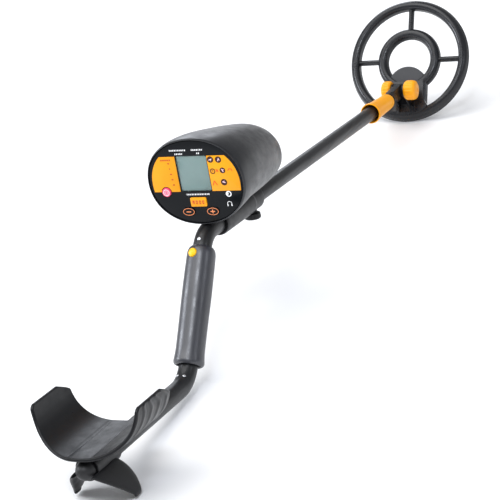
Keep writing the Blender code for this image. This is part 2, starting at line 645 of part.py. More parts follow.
def build_box(mats, root):
    """Hood, battery door and the things fixed inside the hood."""
    outer = [hood_ring(r, 0.0) for r in HOOD]
    rows = HOOD[:-1].copy()
    rows[-1, 0] += 0.0015
    walls = [0.0013, 0.0013] + [0.0026] * (len(rows) - 2)
    inner = [hood_ring(r, w) for r, w in zip(rows, walls)]
    shell = loft("box_hood", outer[::-1] + inner, mats["shell"], root)
    window = door_tool("t1", 0.0, mats["shell"], root)
    hole = revolve("t2", [(0.0400, 0.0042), (0.0800, 0.0042)], "Y", mats["shell"], root,
                   (-0.5480, 0.0, 0.0600), segs=12)
    tools = [(window, "DIFFERENCE"), (hole, "DIFFERENCE")]
    for x in (-0.4520, -0.5150):
        drill = revolve("t3", [(0.0150, 0.0017), (0.0300, 0.0017)], "Z", mats["shell"],
                        root, (x, 0.0, 0.0), segs=12)
        tools.append((drill, "DIFFERENCE"))
    combine(shell, tools, 32.0)
    door = hood_solid("battery_door", 0.0, 1, 9, mats["shell"], root)
    mark = door_tool("t4", 0.0008, mats["shell"], root)
    core = hood_solid("t5", 0.0024, 1, 9, mats["shell"], root)
    combine(door, [(mark, "INTERSECT"), (core, "DIFFERENCE")], 32.0)
    build_box_inside(mats, root)


def build_box_inside(mats, root):
    """Circuit board, speaker, battery pack, socket and the box's screws."""
    prism("main_board", [(y, z + 0.0700) for y, z in
                         rounded_box(0.0940, 0.0660, 0.0060, 4)],
          -0.5620, -0.5604, mats["board"], root, axis="X")
    revolve("speaker", [(-0.4180, 0.0120), (-0.4180, 0.0150), (-0.4260, 0.0170),
                        (-0.4270, 0.0190), (-0.4290, 0.0190), (-0.4290, 0.0120)],
            "X", mats["steel"], root, (0.0, -0.0120, 0.0620), segs=24)
    x0 = -0.5140
    x1 = -0.4580
    y0 = 0.0140
    z0 = 0.0520
    tray = block("battery_holder", (x0, y0, z0), (x1, y0 + 0.0330, z0 + 0.0330),
                 mats["black"], root)
    cave = block("t1", (x0 + 0.0016, y0 + 0.0016, z0 + 0.0016),
                 (x1 - 0.0016, y0 + 0.0400, z0 + 0.0314), mats["black"], root)
    combine(tray, [(cave, "DIFFERENCE")])
    for k in range(4):
        y = y0 + 0.0018 + 0.0073 + 0.0149 * (k % 2)
        z = z0 + 0.0018 + 0.0073 + 0.0149 * (k // 2)
        revolve("battery_cell_" + str(k + 1),
                [(x0 + 0.0022, 0.0060), (x0 + 0.0028, 0.0072), (x1 - 0.0048, 0.0072),
                 (x1 - 0.0042, 0.0062), (x1 - 0.0042, 0.0028), (x1 - 0.0030, 0.0026)],
                "X", mats["cell"], root, (0.0, y, z), segs=14)
    revolve("headphone_socket",
            [(0.0480, 0.0055), (0.0615, 0.0055), (0.0615, 0.0039), (0.0700, 0.0039),
             (0.0700, 0.0020), (0.0540, 0.0020)],
            "Y", mats["steel"], root, (-0.5480, 0.0, 0.0600), segs=12)
    for x, word in ((-0.4520, "front"), (-0.5150, "rear")):
        revolve("box_screw_" + word,
                [(0.0158, 0.0008), (0.0162, 0.0011), (0.0226, 0.0011), (0.0226, 0.0030),
                 (0.0240, 0.0028), (0.0243, 0.0012)],
                "Z", mats["steel"], root, (x, 0.0, 0.0), segs=12)


# ---- operator's face ----------------------------------------------------
FACE_A = 0.0665          # half width of the panel
FACE_B = 0.0565          # half height of the panel
FACE_Y = 0.0024          # the panel's middle above the face frame
BUTTONS = {
    # name: (x to the operator's right, y up, half width, half height, corner)
    "power_button": (-0.0443, -0.0109, 0.0060, 0.0060, 0.0059),
    "mode_button": (-0.0008, -0.0252, 0.0114, 0.0062, 0.0018),
    "minus_button": (-0.0172, -0.0383, 0.0086, 0.0054, 0.0053),
    "plus_button": (0.0172, -0.0383, 0.0086, 0.0054, 0.0053),
}


def face_outline(inset, count=44):
    """The panel's oval outline."""
    ang = np.arange(count) * TAU / count
    c = np.sign(np.cos(ang)) * np.abs(np.cos(ang)) ** OVAL
    v = np.sign(np.sin(ang)) * np.abs(np.sin(ang)) ** OVAL
    return np.stack([(FACE_A - inset) * c, FACE_Y + (FACE_B - inset) * v], axis=-1)


def label_outline(side):
    """One coloured inlay: straight inner, top and bottom edges, curved outside."""
    low = -0.0108
    high = 0.0380
    ys = np.linspace(low, high, 10)
    inner = 0.0212 if side > 0 else 0.0240
    edge = 0.0625 * (1 - np.abs(ys / 0.0545) ** 2.12) ** (1 / 2.12)
    pts = [(side * inner, low)] + [(side * e, y) for e, y in zip(edge, ys)]
    pts.append((side * inner, high))
    return pts


def build_face(mats, root):
    """Panel, inlays, display, keypad and buttons, all in the face's frame."""
    # the face frame: +X to the operator's right, +Y up, +Z out of the face
    lean = math.atan(BOX_LEAN)
    frame = empty("face_frame", (-FACE_S, 0.0, BOX_MID),
                  (math.radians(90.0) + lean, 0.0, math.radians(-90.0)), root)
    frame.rotation_mode = "XYZ"
    panel = prism("face_panel", face_outline(0.0), -0.0040, -0.0008, mats["gloss"], frame)
    tools = []
    opening = prism("t1", [(x - 0.0007, y + 0.0142) for x, y in
                           rounded_box(0.0434, 0.0484, 0.0020, 4)],
                    -0.0060, 0.0020, mats["gloss"], frame)
    tools.append((opening, "DIFFERENCE"))
    for side in (-1.0, 1.0):
        pocket = prism("t2", label_outline(side), -0.0014, 0.0020, mats["gloss"], frame)
        tools.append((pocket, "DIFFERENCE"))
    for x, y, a, b, corner in BUTTONS.values():
        hole = prism("t3", [(p + x, q + y) for p, q in
                            rounded_box(2 * a + 0.0006, 2 * b + 0.0006, corner, 6)],
                     -0.0060, 0.0020, mats["gloss"], frame)
        tools.append((hole, "DIFFERENCE"))
    combine(panel, tools, 30.0)
    for side, word in ((-1.0, "left"), (1.0, "right")):
        outline = np.array(label_outline(side))
        middle = outline.mean(axis=0)
        outline = middle + (outline - middle) * 0.992
        inlay = prism("label_" + word, outline, -0.0013, -0.0008, mats["orange"], frame)
        if side < 0:
            x, y, a, b, corner = BUTTONS["power_button"]
            hole = prism("t4", [(p + x, q + y) for p, q in
                                rounded_box(2 * a + 0.0024, 2 * b + 0.0024, corner + 0.0009, 6)],
                         -0.0060, 0.0020, mats["orange"], frame)
            combine(inlay, [(hole, "DIFFERENCE")], 30.0)
    prism("display_window", [(x - 0.0007, y + 0.0142) for x, y in
                             rounded_box(0.0428, 0.0478, 0.0018, 4)],
          -0.0026, -0.0009, mats["glass"], frame)
    prism("display_module", [(x - 0.0007, y + 0.0142) for x, y in
                             rounded_box(0.0480, 0.0530, 0.0010, 3)],
          -0.0098, -0.0044, mats["lcd"], frame)
    prism("button_membrane", [(x, y - 0.0300) for x, y in
                              rounded_box(0.0520, 0.0300, 0.0040, 4)],
          -0.0104, -0.0090, mats["rubber"], frame)
    prism("power_switch", [(x - 0.0443, y - 0.0109) for x, y in
                           rounded_box(0.0060, 0.0060, 0.0008, 3)],
          -0.0130, -0.0078, mats["steel"], frame)
    for name, (x, y, a, b, corner) in BUTTONS.items():
        rings = []
        floor = -0.0066 if name == "power_button" else -0.0078
        for inset, level in ((0.0, floor), (0.0, 0.0002), (0.0006, 0.0009),
                             (0.0018, 0.0012)):
            sec = rounded_box(2 * (a - inset), 2 * (b - inset),
                              max(corner - inset - 0.0001, 0.0004), 6)
            rings.append([(p, q, level) for p, q in sec])
        mat = {"power_button": "red", "mode_button": "orange"}.get(name, "gloss")
        loft(name, rings, mats[mat], frame, (x, y, 0.0))


# ---- floor --------------------------------------------------------------
def settle(root):
    """Move the whole detector so it stands on the floor, centred on the origin."""
    bpy.context.view_layer.update()
    low = np.full(3, 1e9)
    high = np.full(3, -1e9)
    for obj in bpy.data.objects:
        if obj.type != "MESH":
            continue
        flat = np.zeros(len(obj.data.vertices) * 3)
        obj.data.vertices.foreach_get("co", flat)
        matrix = np.array(obj.matrix_world)
        pts = flat.reshape(-1, 3) @ matrix[:3, :3].T + matrix[:3, 3]
        low = np.minimum(low, pts.min(axis=0))
        high = np.maximum(high, pts.max(axis=0))
    root.location = root.location + Vector((-(low[0] + high[0]) / 2, 0.0, -low[2]))
    bpy.context.view_layer.update()


def main():
    clear_scene()
    mats = {
        "shell": material("shell_plastic", (0.050, 0.053, 0.058), 0.42),
        "cover": material("cover_plastic", (0.040, 0.042, 0.046), 0.55),
        "black": material("black_plastic", (0.018, 0.019, 0.021), 0.45),
        "shaft": material("coated_tube", (0.028, 0.029, 0.031), 0.40),
        "grip": material("grip_plastic", (0.060, 0.064, 0.074), 0.38),
        "gloss": material("gloss_panel", (0.008, 0.010, 0.014), 0.12),
        "orange": material("orange_plastic", (0.95, 0.42, 0.01), 0.35),
        "yellow": material("yellow_button", (0.95, 0.58, 0.03), 0.35),
        "red": material("power_cap", (0.85, 0.45, 0.52), 0.35),
        "lcd": material("display_glass", (0.22, 0.34, 0.34), 0.25),
        "glass": material("clear_window", (0.42, 0.54, 0.53), 0.05, 0.0, 0.35),
        "rubber": material("soft_rubber", (0.015, 0.015, 0.016), 0.75),
        "steel": material("plated_steel", (0.62, 0.63, 0.65), 0.28, 1.0),
        "copper": material("copper_wire", (0.72, 0.30, 0.12), 0.35, 1.0),
        "board": material("circuit_board", (0.03, 0.20, 0.09), 0.45),
        "cell": material("battery_jacket", (0.10, 0.16, 0.32), 0.35),
    }
    root = empty("detector", (0.0, 0.0, 0.0), (0.0, math.radians(SHAFT_TIP), 0.0))
    build_coil(mats, root)
    build_shaft(mats, root)
    build_handle(mats, root)
    build_cradle(mats, root)
    build_box(mats, root)
    build_face(mats, root)
    settle(root)


main()
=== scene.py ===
"""Hand-held metal detector: the finished pieces, their materials and a plain studio.

Every piece is a surface on a two-parameter grid, or a profile carried along a path,
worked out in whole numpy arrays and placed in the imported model's own frame.
"""
import json
import math

import bmesh
import bpy
import numpy as np
from bpy.props import FloatProperty, FloatVectorProperty, PointerProperty
from mathutils import Matrix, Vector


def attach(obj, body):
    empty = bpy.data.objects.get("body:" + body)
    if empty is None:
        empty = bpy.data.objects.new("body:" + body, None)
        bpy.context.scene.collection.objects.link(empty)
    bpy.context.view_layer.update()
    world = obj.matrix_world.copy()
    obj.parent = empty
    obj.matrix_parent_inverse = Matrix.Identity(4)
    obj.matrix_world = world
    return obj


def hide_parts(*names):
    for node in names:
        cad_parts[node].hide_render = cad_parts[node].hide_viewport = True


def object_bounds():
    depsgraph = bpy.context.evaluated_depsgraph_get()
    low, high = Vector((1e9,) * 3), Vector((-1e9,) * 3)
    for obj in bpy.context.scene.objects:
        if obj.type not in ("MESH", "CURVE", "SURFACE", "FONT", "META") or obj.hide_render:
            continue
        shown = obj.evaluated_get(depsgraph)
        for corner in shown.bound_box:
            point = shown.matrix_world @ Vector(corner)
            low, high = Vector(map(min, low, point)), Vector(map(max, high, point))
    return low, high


bl_info = {
    "name": "Metal Detector Pieces",
    "version": (1, 0, 0),
    "blender": (4, 5, 0),
    "location": "View3D > Sidebar > Detector",
    "description": "Builds the detector's coil, shaft, handle, control box and studio",
    "category": "Object",
}

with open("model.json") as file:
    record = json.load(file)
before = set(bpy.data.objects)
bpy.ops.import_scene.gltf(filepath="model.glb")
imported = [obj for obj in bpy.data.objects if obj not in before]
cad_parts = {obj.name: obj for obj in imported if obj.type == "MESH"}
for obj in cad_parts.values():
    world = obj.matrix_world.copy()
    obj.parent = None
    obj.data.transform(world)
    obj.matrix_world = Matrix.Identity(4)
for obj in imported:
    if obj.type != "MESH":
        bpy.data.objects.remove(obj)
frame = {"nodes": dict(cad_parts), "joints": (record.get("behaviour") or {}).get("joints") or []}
CAD_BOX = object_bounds()
NODES = frame["nodes"]
JOINTS = {j["name"]: j for j in frame["joints"]}

TAU = 2.0 * math.pi


# ---- frames of the assembly ---------------------------------------------
def columns(x, y, z, origin):
    """A 4 by 4 matrix from three axes and an origin."""
    out = np.eye(4)
    out[:3, 0] = x
    out[:3, 1] = y
    out[:3, 2] = z
    out[:3, 3] = origin
    return out


def turn(degrees, i, j):
    """Rotation from axis i towards axis j, as a 4 by 4 matrix."""
    a = math.radians(degrees)
    out = np.eye(4)
    out[i, i] = out[j, j] = math.cos(a)
    out[j, i] = math.sin(a)
    out[i, j] = -math.sin(a)
    return out


def turn_x(degrees):
    """Rotation about X."""
    return turn(degrees, 1, 2)


def turn_y(degrees):
    """Rotation about Y."""
    return turn(degrees, 2, 0)


def turn_z(degrees):
    """Rotation about Z."""
    return turn(degrees, 0, 1)


def shift(x, y, z):
    """Translation, as a 4 by 4 matrix."""
    out = np.eye(4)
    out[:3, 3] = (x, y, z)
    return out


# The shaft frame: +X along the shaft to the coil, +Z up from it, origin on its axis.
PIVOT_X = 0.217
PIVOT_Z = 0.004
ALONG = np.array(JOINTS["shaft_slide"]["axis"], float)
ALONG /= np.linalg.norm(ALONG)
LEFT = np.array([0.0, 1.0, 0.0])
ABOVE = np.cross(ALONG, LEFT)
PIVOT = np.array(JOINTS["coil_tilt"]["pos_m"], float)
SHAFT = columns(ALONG, LEFT, ABOVE, PIVOT - PIVOT_X * ALONG - PIVOT_Z * ABOVE)

COIL_PIVOT = (-0.062, 0.047)
PIVOT_FRAME = SHAFT @ shift(PIVOT_X, 0.0, PIVOT_Z) @ turn_y(-63.2)
COIL = PIVOT_FRAME @ shift(-COIL_PIVOT[0], 0.0, -COIL_PIVOT[1])

CLAMP_X = -0.422
CLAMP_HOLE = 0.0032
BOX_SCREWS = (-0.452, -0.515)
ROD_BORE = 0.0128
ROD_CORNER = -0.5787
ROD_DROP = -0.166
GRIP_ANGLE = 56.4
ROD_END = -0.965
BEND_TOP = 0.04
BEND_LOW = 0.048
GRIP = SHAFT @ shift(ROD_CORNER, 0.0, 0.0) @ turn_y(-(180.0 - (90.0 - GRIP_ANGLE)))
GRIP_FROM = 0.019
GRIP_TO = 0.177

BOX_LEAN = 0.1
BOX_MID = 0.0675
FACE_S = 0.5813
_lean = math.atan(BOX_LEAN)
_face_up = np.array([-math.sin(_lean), 0.0, math.cos(_lean)])
_face_out = np.array([-math.cos(_lean), 0.0, -math.sin(_lean)])
FACE = SHAFT @ columns((0.0, -1.0, 0.0), _face_up, _face_out, (-FACE_S, 0.0, BOX_MID))


# ---- surfaces -----------------------------------------------------------
def rounded(points, reach, steps=4, closed=True):
    """Each corner of a line of points becomes a quadratic curve.

    The curve starts and ends `reach` from the corner, or 45 % of the side if that is
    shorter, and has the corner as its middle control point.
    """
    p = np.asarray(points, float)
    before = np.roll(p, 1, axis=0)
    after = np.roll(p, -1, axis=0)
    d0 = np.linalg.norm(before - p, axis=1)[:, None]
    d1 = np.linalg.norm(after - p, axis=1)[:, None]
    r = np.broadcast_to(np.asarray(reach, float), (len(p),))[:, None]
    a = p + (before - p) / d0 * np.minimum(r, 0.45 * d0)
    b = p + (after - p) / d1 * np.minimum(r, 0.45 * d1)
    t = np.linspace(0.0, 1.0, steps)[None, :, None]
    curve = (1 - t) ** 2 * a[:, None] + 2 * t * (1 - t) * p[:, None] + t ** 2 * b[:, None]
    if closed:
        return curve.reshape(-1, p.shape[1])
    return np.concatenate([p[:1], curve[1:-1].reshape(-1, p.shape[1]), p[-1:]])


def grid_quads(rows, cols, wrap_rows, wrap_cols):
    """Quads of a rows by cols grid whose points run row by row."""
    i = np.arange(rows if wrap_rows else rows - 1)
    j = np.arange(cols if wrap_cols else cols - 1)
    i, j = np.meshgrid(i, j, indexing="ij")
    i2 = (i + 1) % rows
    j2 = (j + 1) % cols
    quads = np.stack([i * cols + j, i * cols + j2, i2 * cols + j2, i2 * cols + j], -1)
    return quads.reshape(-1, 4)


def skin(rings, loop=False):
    """Closed body from a stack of rings (rows, cols, 3), capped flat unless looped."""
    rings = np.asarray(rings, float)
    rows, cols = rings.shape[:2]
    faces = grid_quads(rows, cols, loop, True).tolist()
    if not loop:
        faces.append(list(range(cols)))
        faces.append(list(range((rows - 1) * cols, rows * cols)))
    return rings.reshape(-1, 3), faces


def lathe(profile, segs=64, axis="Z", loop=True):
    """Turn a profile of (distance along, radius) about an axis.

    A point at angle a and profile place (h, r) is (r cos a, r sin a, h) about Z.
    """
    prof = np.asarray(profile, float)
    a = np.arange(segs) * TAU / segs
    h = np.repeat(prof[:, :1], segs, axis=1)
    c = prof[:, 1:2] * np.cos(a)
    s = prof[:, 1:2] * np.sin(a)
    order = {"X": (h, c, s), "Y": (s, h, c), "Z": (c, s, h)}[axis]
    return skin(np.stack(order, axis=-1), loop)


def slab(outline, low, high, edge=0.0005, steps=4, axis="Z"):
    """Flat outline given thickness, its upper and lower rims rounded.

    The outline moves inwards by edge times (1 - cos) while the level moves by
    edge times (1 - sin), so the rim is a quarter circle.
    """
    p = np.asarray(outline, float)
    tangent = np.roll(p, -1, axis=0) - np.roll(p, 1, axis=0)
    tangent /= np.maximum(np.linalg.norm(tangent, axis=1), 1e-12)[:, None]
    inward = np.stack([-tangent[:, 1], tangent[:, 0]], axis=-1)
    x, y = p[:, 0], p[:, 1]
    area = np.sum(x * np.roll(y, -1) - np.roll(x, -1) * y)
    if area < 0.0:
        inward = -inward
    q = np.linspace(0.0, math.pi / 2, steps)
    inset = edge * (1.0 - np.sin(q))
    rise = edge * (1.0 - np.cos(q))
    levels = np.concatenate([low + rise, high - rise[::-1]])
    insets = np.concatenate([inset, inset[::-1]])
    flat = p[None] + inward[None] * insets[:, None, None]
    lev = np.broadcast_to(levels[:, None], flat.shape[:2])
    order = {"Z": (flat[..., 0], flat[..., 1], lev), "Y": (flat[..., 0], lev, flat[..., 1]),
        "X": (lev, flat[..., 0], flat[..., 1])}[axis]
    return skin(np.stack(order, axis=-1))


def contour(rows, steps):
    """Closed outline from rows of two coordinates and the reach of the corner there."""
    rows = np.asarray(rows, float)
    return rounded(rows[:, :2], rows[:, 2], steps)


def spun(points, degrees):
    """Flat points turned about zero."""
    c, n = math.cos(math.radians(degrees)), math.sin(math.radians(degrees))
    return np.stack([points[:, 0] * c - points[:, 1] * n, points[:, 0] * n + points[:, 1] * c],
        -1)


def thin(outline, low, high, edge=0.00005, axis="Z"):
    """Slab whose rims are barely broken."""
    return slab(outline, low, high, edge, 2, axis)


def box_outline(width, height, corner, steps=7):
    """Rectangle with rounded corners, centred on zero."""
    w, h = width / 2, height / 2
    return rounded([(w, -h), (w, h), (-w, h), (-w, -h)], corner, steps)


def signed_power(values, power):
    """Sizes raised to a power, signs kept."""
    return np.sign(values) * np.abs(values) ** power


def arc(radius, a, x=0.0, y=0.0):
    """Points of a circle at the given angles."""
    return np.stack([x + radius * np.cos(a), y + radius * np.sin(a)], axis=-1)


def circle(radius, count=24, x=0.0, y=0.0):
    """Points all round a circle."""
    return arc(radius, np.arange(count) * TAU / count, x, y)


def carried(path, angles, section):
    """Section carried along a centre line that stays in the XZ plane.

    Ring k stands square to the line, whose slope there is angles[k]; the section's
    first coordinate goes along the in-plane normal, its second along Y.
    """
    path = np.asarray(path, float)
    angles = np.asarray(angles, float)
    section = np.asarray(section, float)
    if section.ndim == 2:
        section = np.broadcast_to(section, (len(path),) + section.shape)
    nx = -np.sin(angles)[:, None]
    nz = np.cos(angles)[:, None]
    n = section[..., 0]
    x = path[:, :1] + n * nx
    z = path[:, 1:2] + n * nz
    return np.stack([x, section[..., 1], z], axis=-1)


def smooth_rows(keys, count):
    """Rows of a table resampled on a curve through the keys (Catmull-Rom)."""
    k = np.asarray(keys, float)
    ext = np.concatenate([2 * k[:1] - k[1:2], k, 2 * k[-1:] - k[-2:-1]])
    u = np.linspace(0.0, len(k) - 1.0, count)
    i = np.clip(np.floor(u).astype(int), 0, len(k) - 2)
    t = (u - i)[:, None]
    a, b, c, d = ext[i], ext[i + 1], ext[i + 2], ext[i + 3]
    return 0.5 * (2 * b + (c - a) * t + (2 * a - 5 * b + 4 * c - d) * t ** 2
        + (3 * b - a - 3 * c + d) * t ** 3)


def joined(*bodies):
    """Several closed bodies as one list of points and faces."""
    verts = []
    faces = []
    base = 0
    for v, f in bodies:
        verts.append(v)
        faces.extend([[i + base for i in face] for face in f])
        base += len(v)
    return np.concatenate(verts), faces


def moved(shape, x, y, z):
    """A closed shape carried to another spot."""
    return shape[0] + np.array([x, y, z]), shape[1]


def less(shape):
    """A shape to be cut away."""
    return "DIFFERENCE", shape


def plus(shape):
    """A shape to be added."""
    return "UNION", shape


def bored(low, high, radius, axis="Z", segs=24, x=0.0, y=0.0, z=0.0):
    """Round hole from low to high along an axis."""
    return less(moved(lathe([(low, radius), (high, radius)], segs, axis, False), x, y, z))


def piece(name, body_shape, place, finish, body, stands_for=(), crisp=35.0, cuts=()):
    """Put a closed shape into the frame, on its body, in place of its CAD nodes."""
    mat = FINISH[finish]
    obj = raw_object(name, body_shape, place)
    for cut in cuts:
        carve(obj, cut, place)
    obj.data.materials.clear()
    obj.data.materials.append(mat)
    count = len(obj.data.polygons)
    obj.data.polygons.foreach_set("use_smooth", np.ones(count, dtype=bool))
    obj.data.polygons.foreach_set("material_index", np.zeros(count, dtype=np.int32))
    obj.data.set_sharp_from_angle(angle=math.radians(crisp))
    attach(obj, body)
    if stands_for:
        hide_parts(*stands_for)


def raw_object(name, body_shape, place):
    """Mesh object with its place baked in and its faces turned outwards."""
    verts, faces = body_shape
    world = verts @ place[:3, :3].T + place[:3, 3]
    mesh = bpy.data.meshes.new(name)
    mesh.from_pydata(world.tolist(), [], faces)
    bm = bmesh.new()
    bm.from_mesh(mesh)
    bmesh.ops.recalc_face_normals(bm, faces=bm.faces)
    bm.to_mesh(mesh)
    bm.free()
    obj = bpy.data.objects.new(name, mesh)
    bpy.context.scene.collection.objects.link(obj)
    return obj


def carve(obj, cut, place):
    """Cut or add one closed shape exactly and keep the result as the mesh."""
    how, shape = cut
    tool = raw_object("tool", shape, place)
    mod = obj.modifiers.new("cut", "BOOLEAN")
    mod.operation = how
    mod.solver = "EXACT"
    mod.object = tool
    bpy.context.view_layer.update()
    graph = bpy.context.evaluated_depsgraph_get()
    mesh = bpy.data.meshes.new_from_object(obj.evaluated_get(graph))
    obj.modifiers.clear()
    obj.data = mesh
    mesh.name = obj.name
    bpy.data.objects.remove(tool, do_unlink=True)


# ---- materials ----------------------------------------------------------
# the shaft's lean, so that drawn lines run along the tubes
TUBE_SLOPE = -7.8


class Surface:
    """A Principled material under construction, with short node helpers."""

    def __init__(self, name, colour, rough, metal=0.0, coat=0.0, spec=0.5):
        self.mat = bpy.data.materials.new(name)
        self.mat.use_nodes = True
        self.tree = self.mat.node_tree
        self.shader = self.tree.nodes["Principled BSDF"]
        self.shader.inputs["Base Color"].default_value = (*colour, 1.0)
        self.shader.inputs["Roughness"].default_value = rough
        self.shader.inputs["Metallic"].default_value = metal
        self.shader.inputs["Coat Weight"].default_value = coat
        self.shader.inputs["Coat Roughness"].default_value = 0.12
        self.shader.inputs["Specular IOR Level"].default_value = spec
        self.coords = self.node("ShaderNodeTexCoord").outputs["Object"]

    def node(self, kind, **values):
        """Add a node; keyword values set its properties or its input sockets."""
        made = self.tree.nodes.new(kind)
        for key, value in values.items():
            if hasattr(made, key):
                setattr(made, key, value)
            else:
                made.inputs[key.replace("_", " ")].default_value = value
        return made

    def link(self, a, b):
        """Join an output to an input."""
        self.tree.links.new(a, b)

    def noise(self, scale, detail=4.0, rough=0.55, stretch=None):
        """Noise over the object, optionally stretched along an axis."""
        made = self.node("ShaderNodeTexNoise", Scale=scale, Detail=detail, Roughness=rough)
        if stretch is None:
            self.link(self.coords, made.inputs["Vector"])
        else:
            mapping = self.node("ShaderNodeMapping")
            mapping.inputs["Rotation"].default_value = (0.0, math.radians(TUBE_SLOPE), 0.0)
            mapping.inputs["Scale"].default_value = stretch
            self.link(self.coords, mapping.inputs["Vector"])
            self.link(mapping.outputs["Vector"], made.inputs["Vector"])
        return made.outputs["Fac"]

    def ramp(self, source, low, high, start=0.0, stop=1.0):
        """Map a value from start..stop to low..high."""
        made = self.node("ShaderNodeMapRange")
        self.link(source, made.inputs["Value"])
        made.inputs["From Min"].default_value = start
        made.inputs["From Max"].default_value = stop
        made.inputs["To Min"].default_value = low
        made.inputs["To Max"].default_value = high
        return made.outputs["Result"]

    def tint(self, factor, first, second):
        """Colour that moves from the first to the second with the factor."""
        mix = self.node("ShaderNodeMix", data_type="RGBA")
        self.link(factor, mix.inputs["Factor"])
        a = [s for s in mix.inputs if s.name == "A" and s.type == "RGBA"][0]
        b = [s for s in mix.inputs if s.name == "B" and s.type == "RGBA"][0]
        a.default_value = (*first, 1.0)
        b.default_value = (*second, 1.0)
        return [s for s in mix.outputs if s.type == "RGBA"][0]

    def colour(self, socket):
        """Feed the base colour."""
        self.link(socket, self.shader.inputs["Base Color"])

    def rough(self, socket):
        """Feed the roughness."""
        self.link(socket, self.shader.inputs["Roughness"])

    def bump(self, height, depth):
        """Feed the normal from a height."""
        made = self.node("ShaderNodeBump")
        made.inputs["Strength"].default_value = 1.0
        made.inputs["Distance"].default_value = depth
        self.link(height, made.inputs["Height"])
        self.link(made.outputs["Normal"], self.shader.inputs["Normal"])


def moulded_plastic(name, colour, rough, grain, depth, vary, spec):
    """Injection-moulded plastic: fine spark-eroded grain, faint flow and handling marks."""
    s = Surface(name, colour, rough, spec=spec)
    flow = s.noise(14.0, 3.0)
    light = tuple(min(1.0, c * (1 + vary)) for c in colour)
    dark = tuple(c * (1 - vary) for c in colour)
    s.colour(s.tint(s.ramp(flow, 0.0, 1.0, 0.35, 0.68), dark, light))
    wear = s.noise(60.0, 6.0, 0.65)
    s.rough(s.ramp(wear, rough - 0.07, rough + 0.1, 0.3, 0.7))
    s.bump(s.noise(grain, 2.0, 0.5), depth)
    return s.mat


def coated_tube(name, colour, rough):
    """Powder-coated tube: drawn lines along it, fine orange peel, rubbed patches."""
    s = Surface(name, colour, rough, spec=0.4)
    lines = s.noise(240.0, 3.0, 0.5, (0.03, 1.0, 1.0))
    patches = s.noise(9.0, 5.0, 0.6)
    light = tuple(c * 1.5 + 0.003 for c in colour)
    s.colour(s.tint(s.ramp(patches, 0.0, 0.8, 0.45, 0.75), colour, light))
    s.rough(s.ramp(lines, rough - 0.08, rough + 0.09, 0.3, 0.7))
    s.bump(s.noise(700.0, 2.0), 0.00002)
    return s.mat


def bright_metal(name, colour, rough):
    """Plated steel with fine turning scratches."""
    s = Surface(name, colour, rough, metal=1.0)
    scratch = s.noise(1500.0, 4.0, 0.6, (1.0, 0.2, 1.0))
    s.rough(s.ramp(scratch, rough - 0.08, rough + 0.15, 0.3, 0.7))
    dull = tuple(c * 0.7 for c in colour)
    s.colour(s.tint(s.ramp(s.noise(80.0), 0.0, 1.0, 0.4, 0.7), colour, dull))
    s.bump(scratch, 0.000012)
    return s.mat


def wound_wire(name, colour):
    """Enamelled wire: fine ridges that run round the winding."""
    s = Surface(name, colour, 0.32, metal=1.0)
    ridges = s.noise(900.0, 2.0)
    s.bump(ridges, 0.0002)
    s.colour(s.tint(ridges, colour, tuple(c * 0.6 for c in colour)))
    return s.mat


def display_cell(name, colour):
    """Liquid crystal cell: grey-green with a slow lightness change and a fine grid."""
    s = Surface(name, colour, 0.22, coat=0.3)
    slow = s.noise(22.0, 1.0)
    lighter = tuple(c * 1.18 for c in colour)
    s.colour(s.tint(s.ramp(slow, 0.0, 1.0, 0.35, 0.65), colour, lighter))
    s.bump(s.noise(1400.0, 1.0), 0.000006)
    return s.mat


def gloss_film(name, colour, rough, coat, spec):
    """Glossy printed film: near mirror with faint dust and finger marks."""
    s = Surface(name, colour, rough, coat=coat, spec=spec)
    smear = s.noise(38.0, 5.0, 0.6)
    s.rough(s.ramp(smear, max(rough - 0.03, 0.03), rough + 0.1, 0.4, 0.75))
    light = tuple(min(1.0, c * 1.15 + 0.002) for c in colour)
    s.colour(s.tint(s.ramp(s.noise(9.0), 0.0, 1.0, 0.4, 0.7), colour, light))
    s.bump(s.noise(160.0, 2.0), 0.000008)
    return s.mat


def clear_lens(name):
    """Thin clear window over the display."""
    s = Surface(name, (0.95, 0.98, 0.98), 0.03)
    s.shader.inputs["Transmission Weight"].default_value = 1.0
    s.shader.inputs["IOR"].default_value = 1.46
    s.rough(s.ramp(s.noise(50.0, 5.0), 0.02, 0.06, 0.4, 0.7))
    return s.mat


FINISH = {}


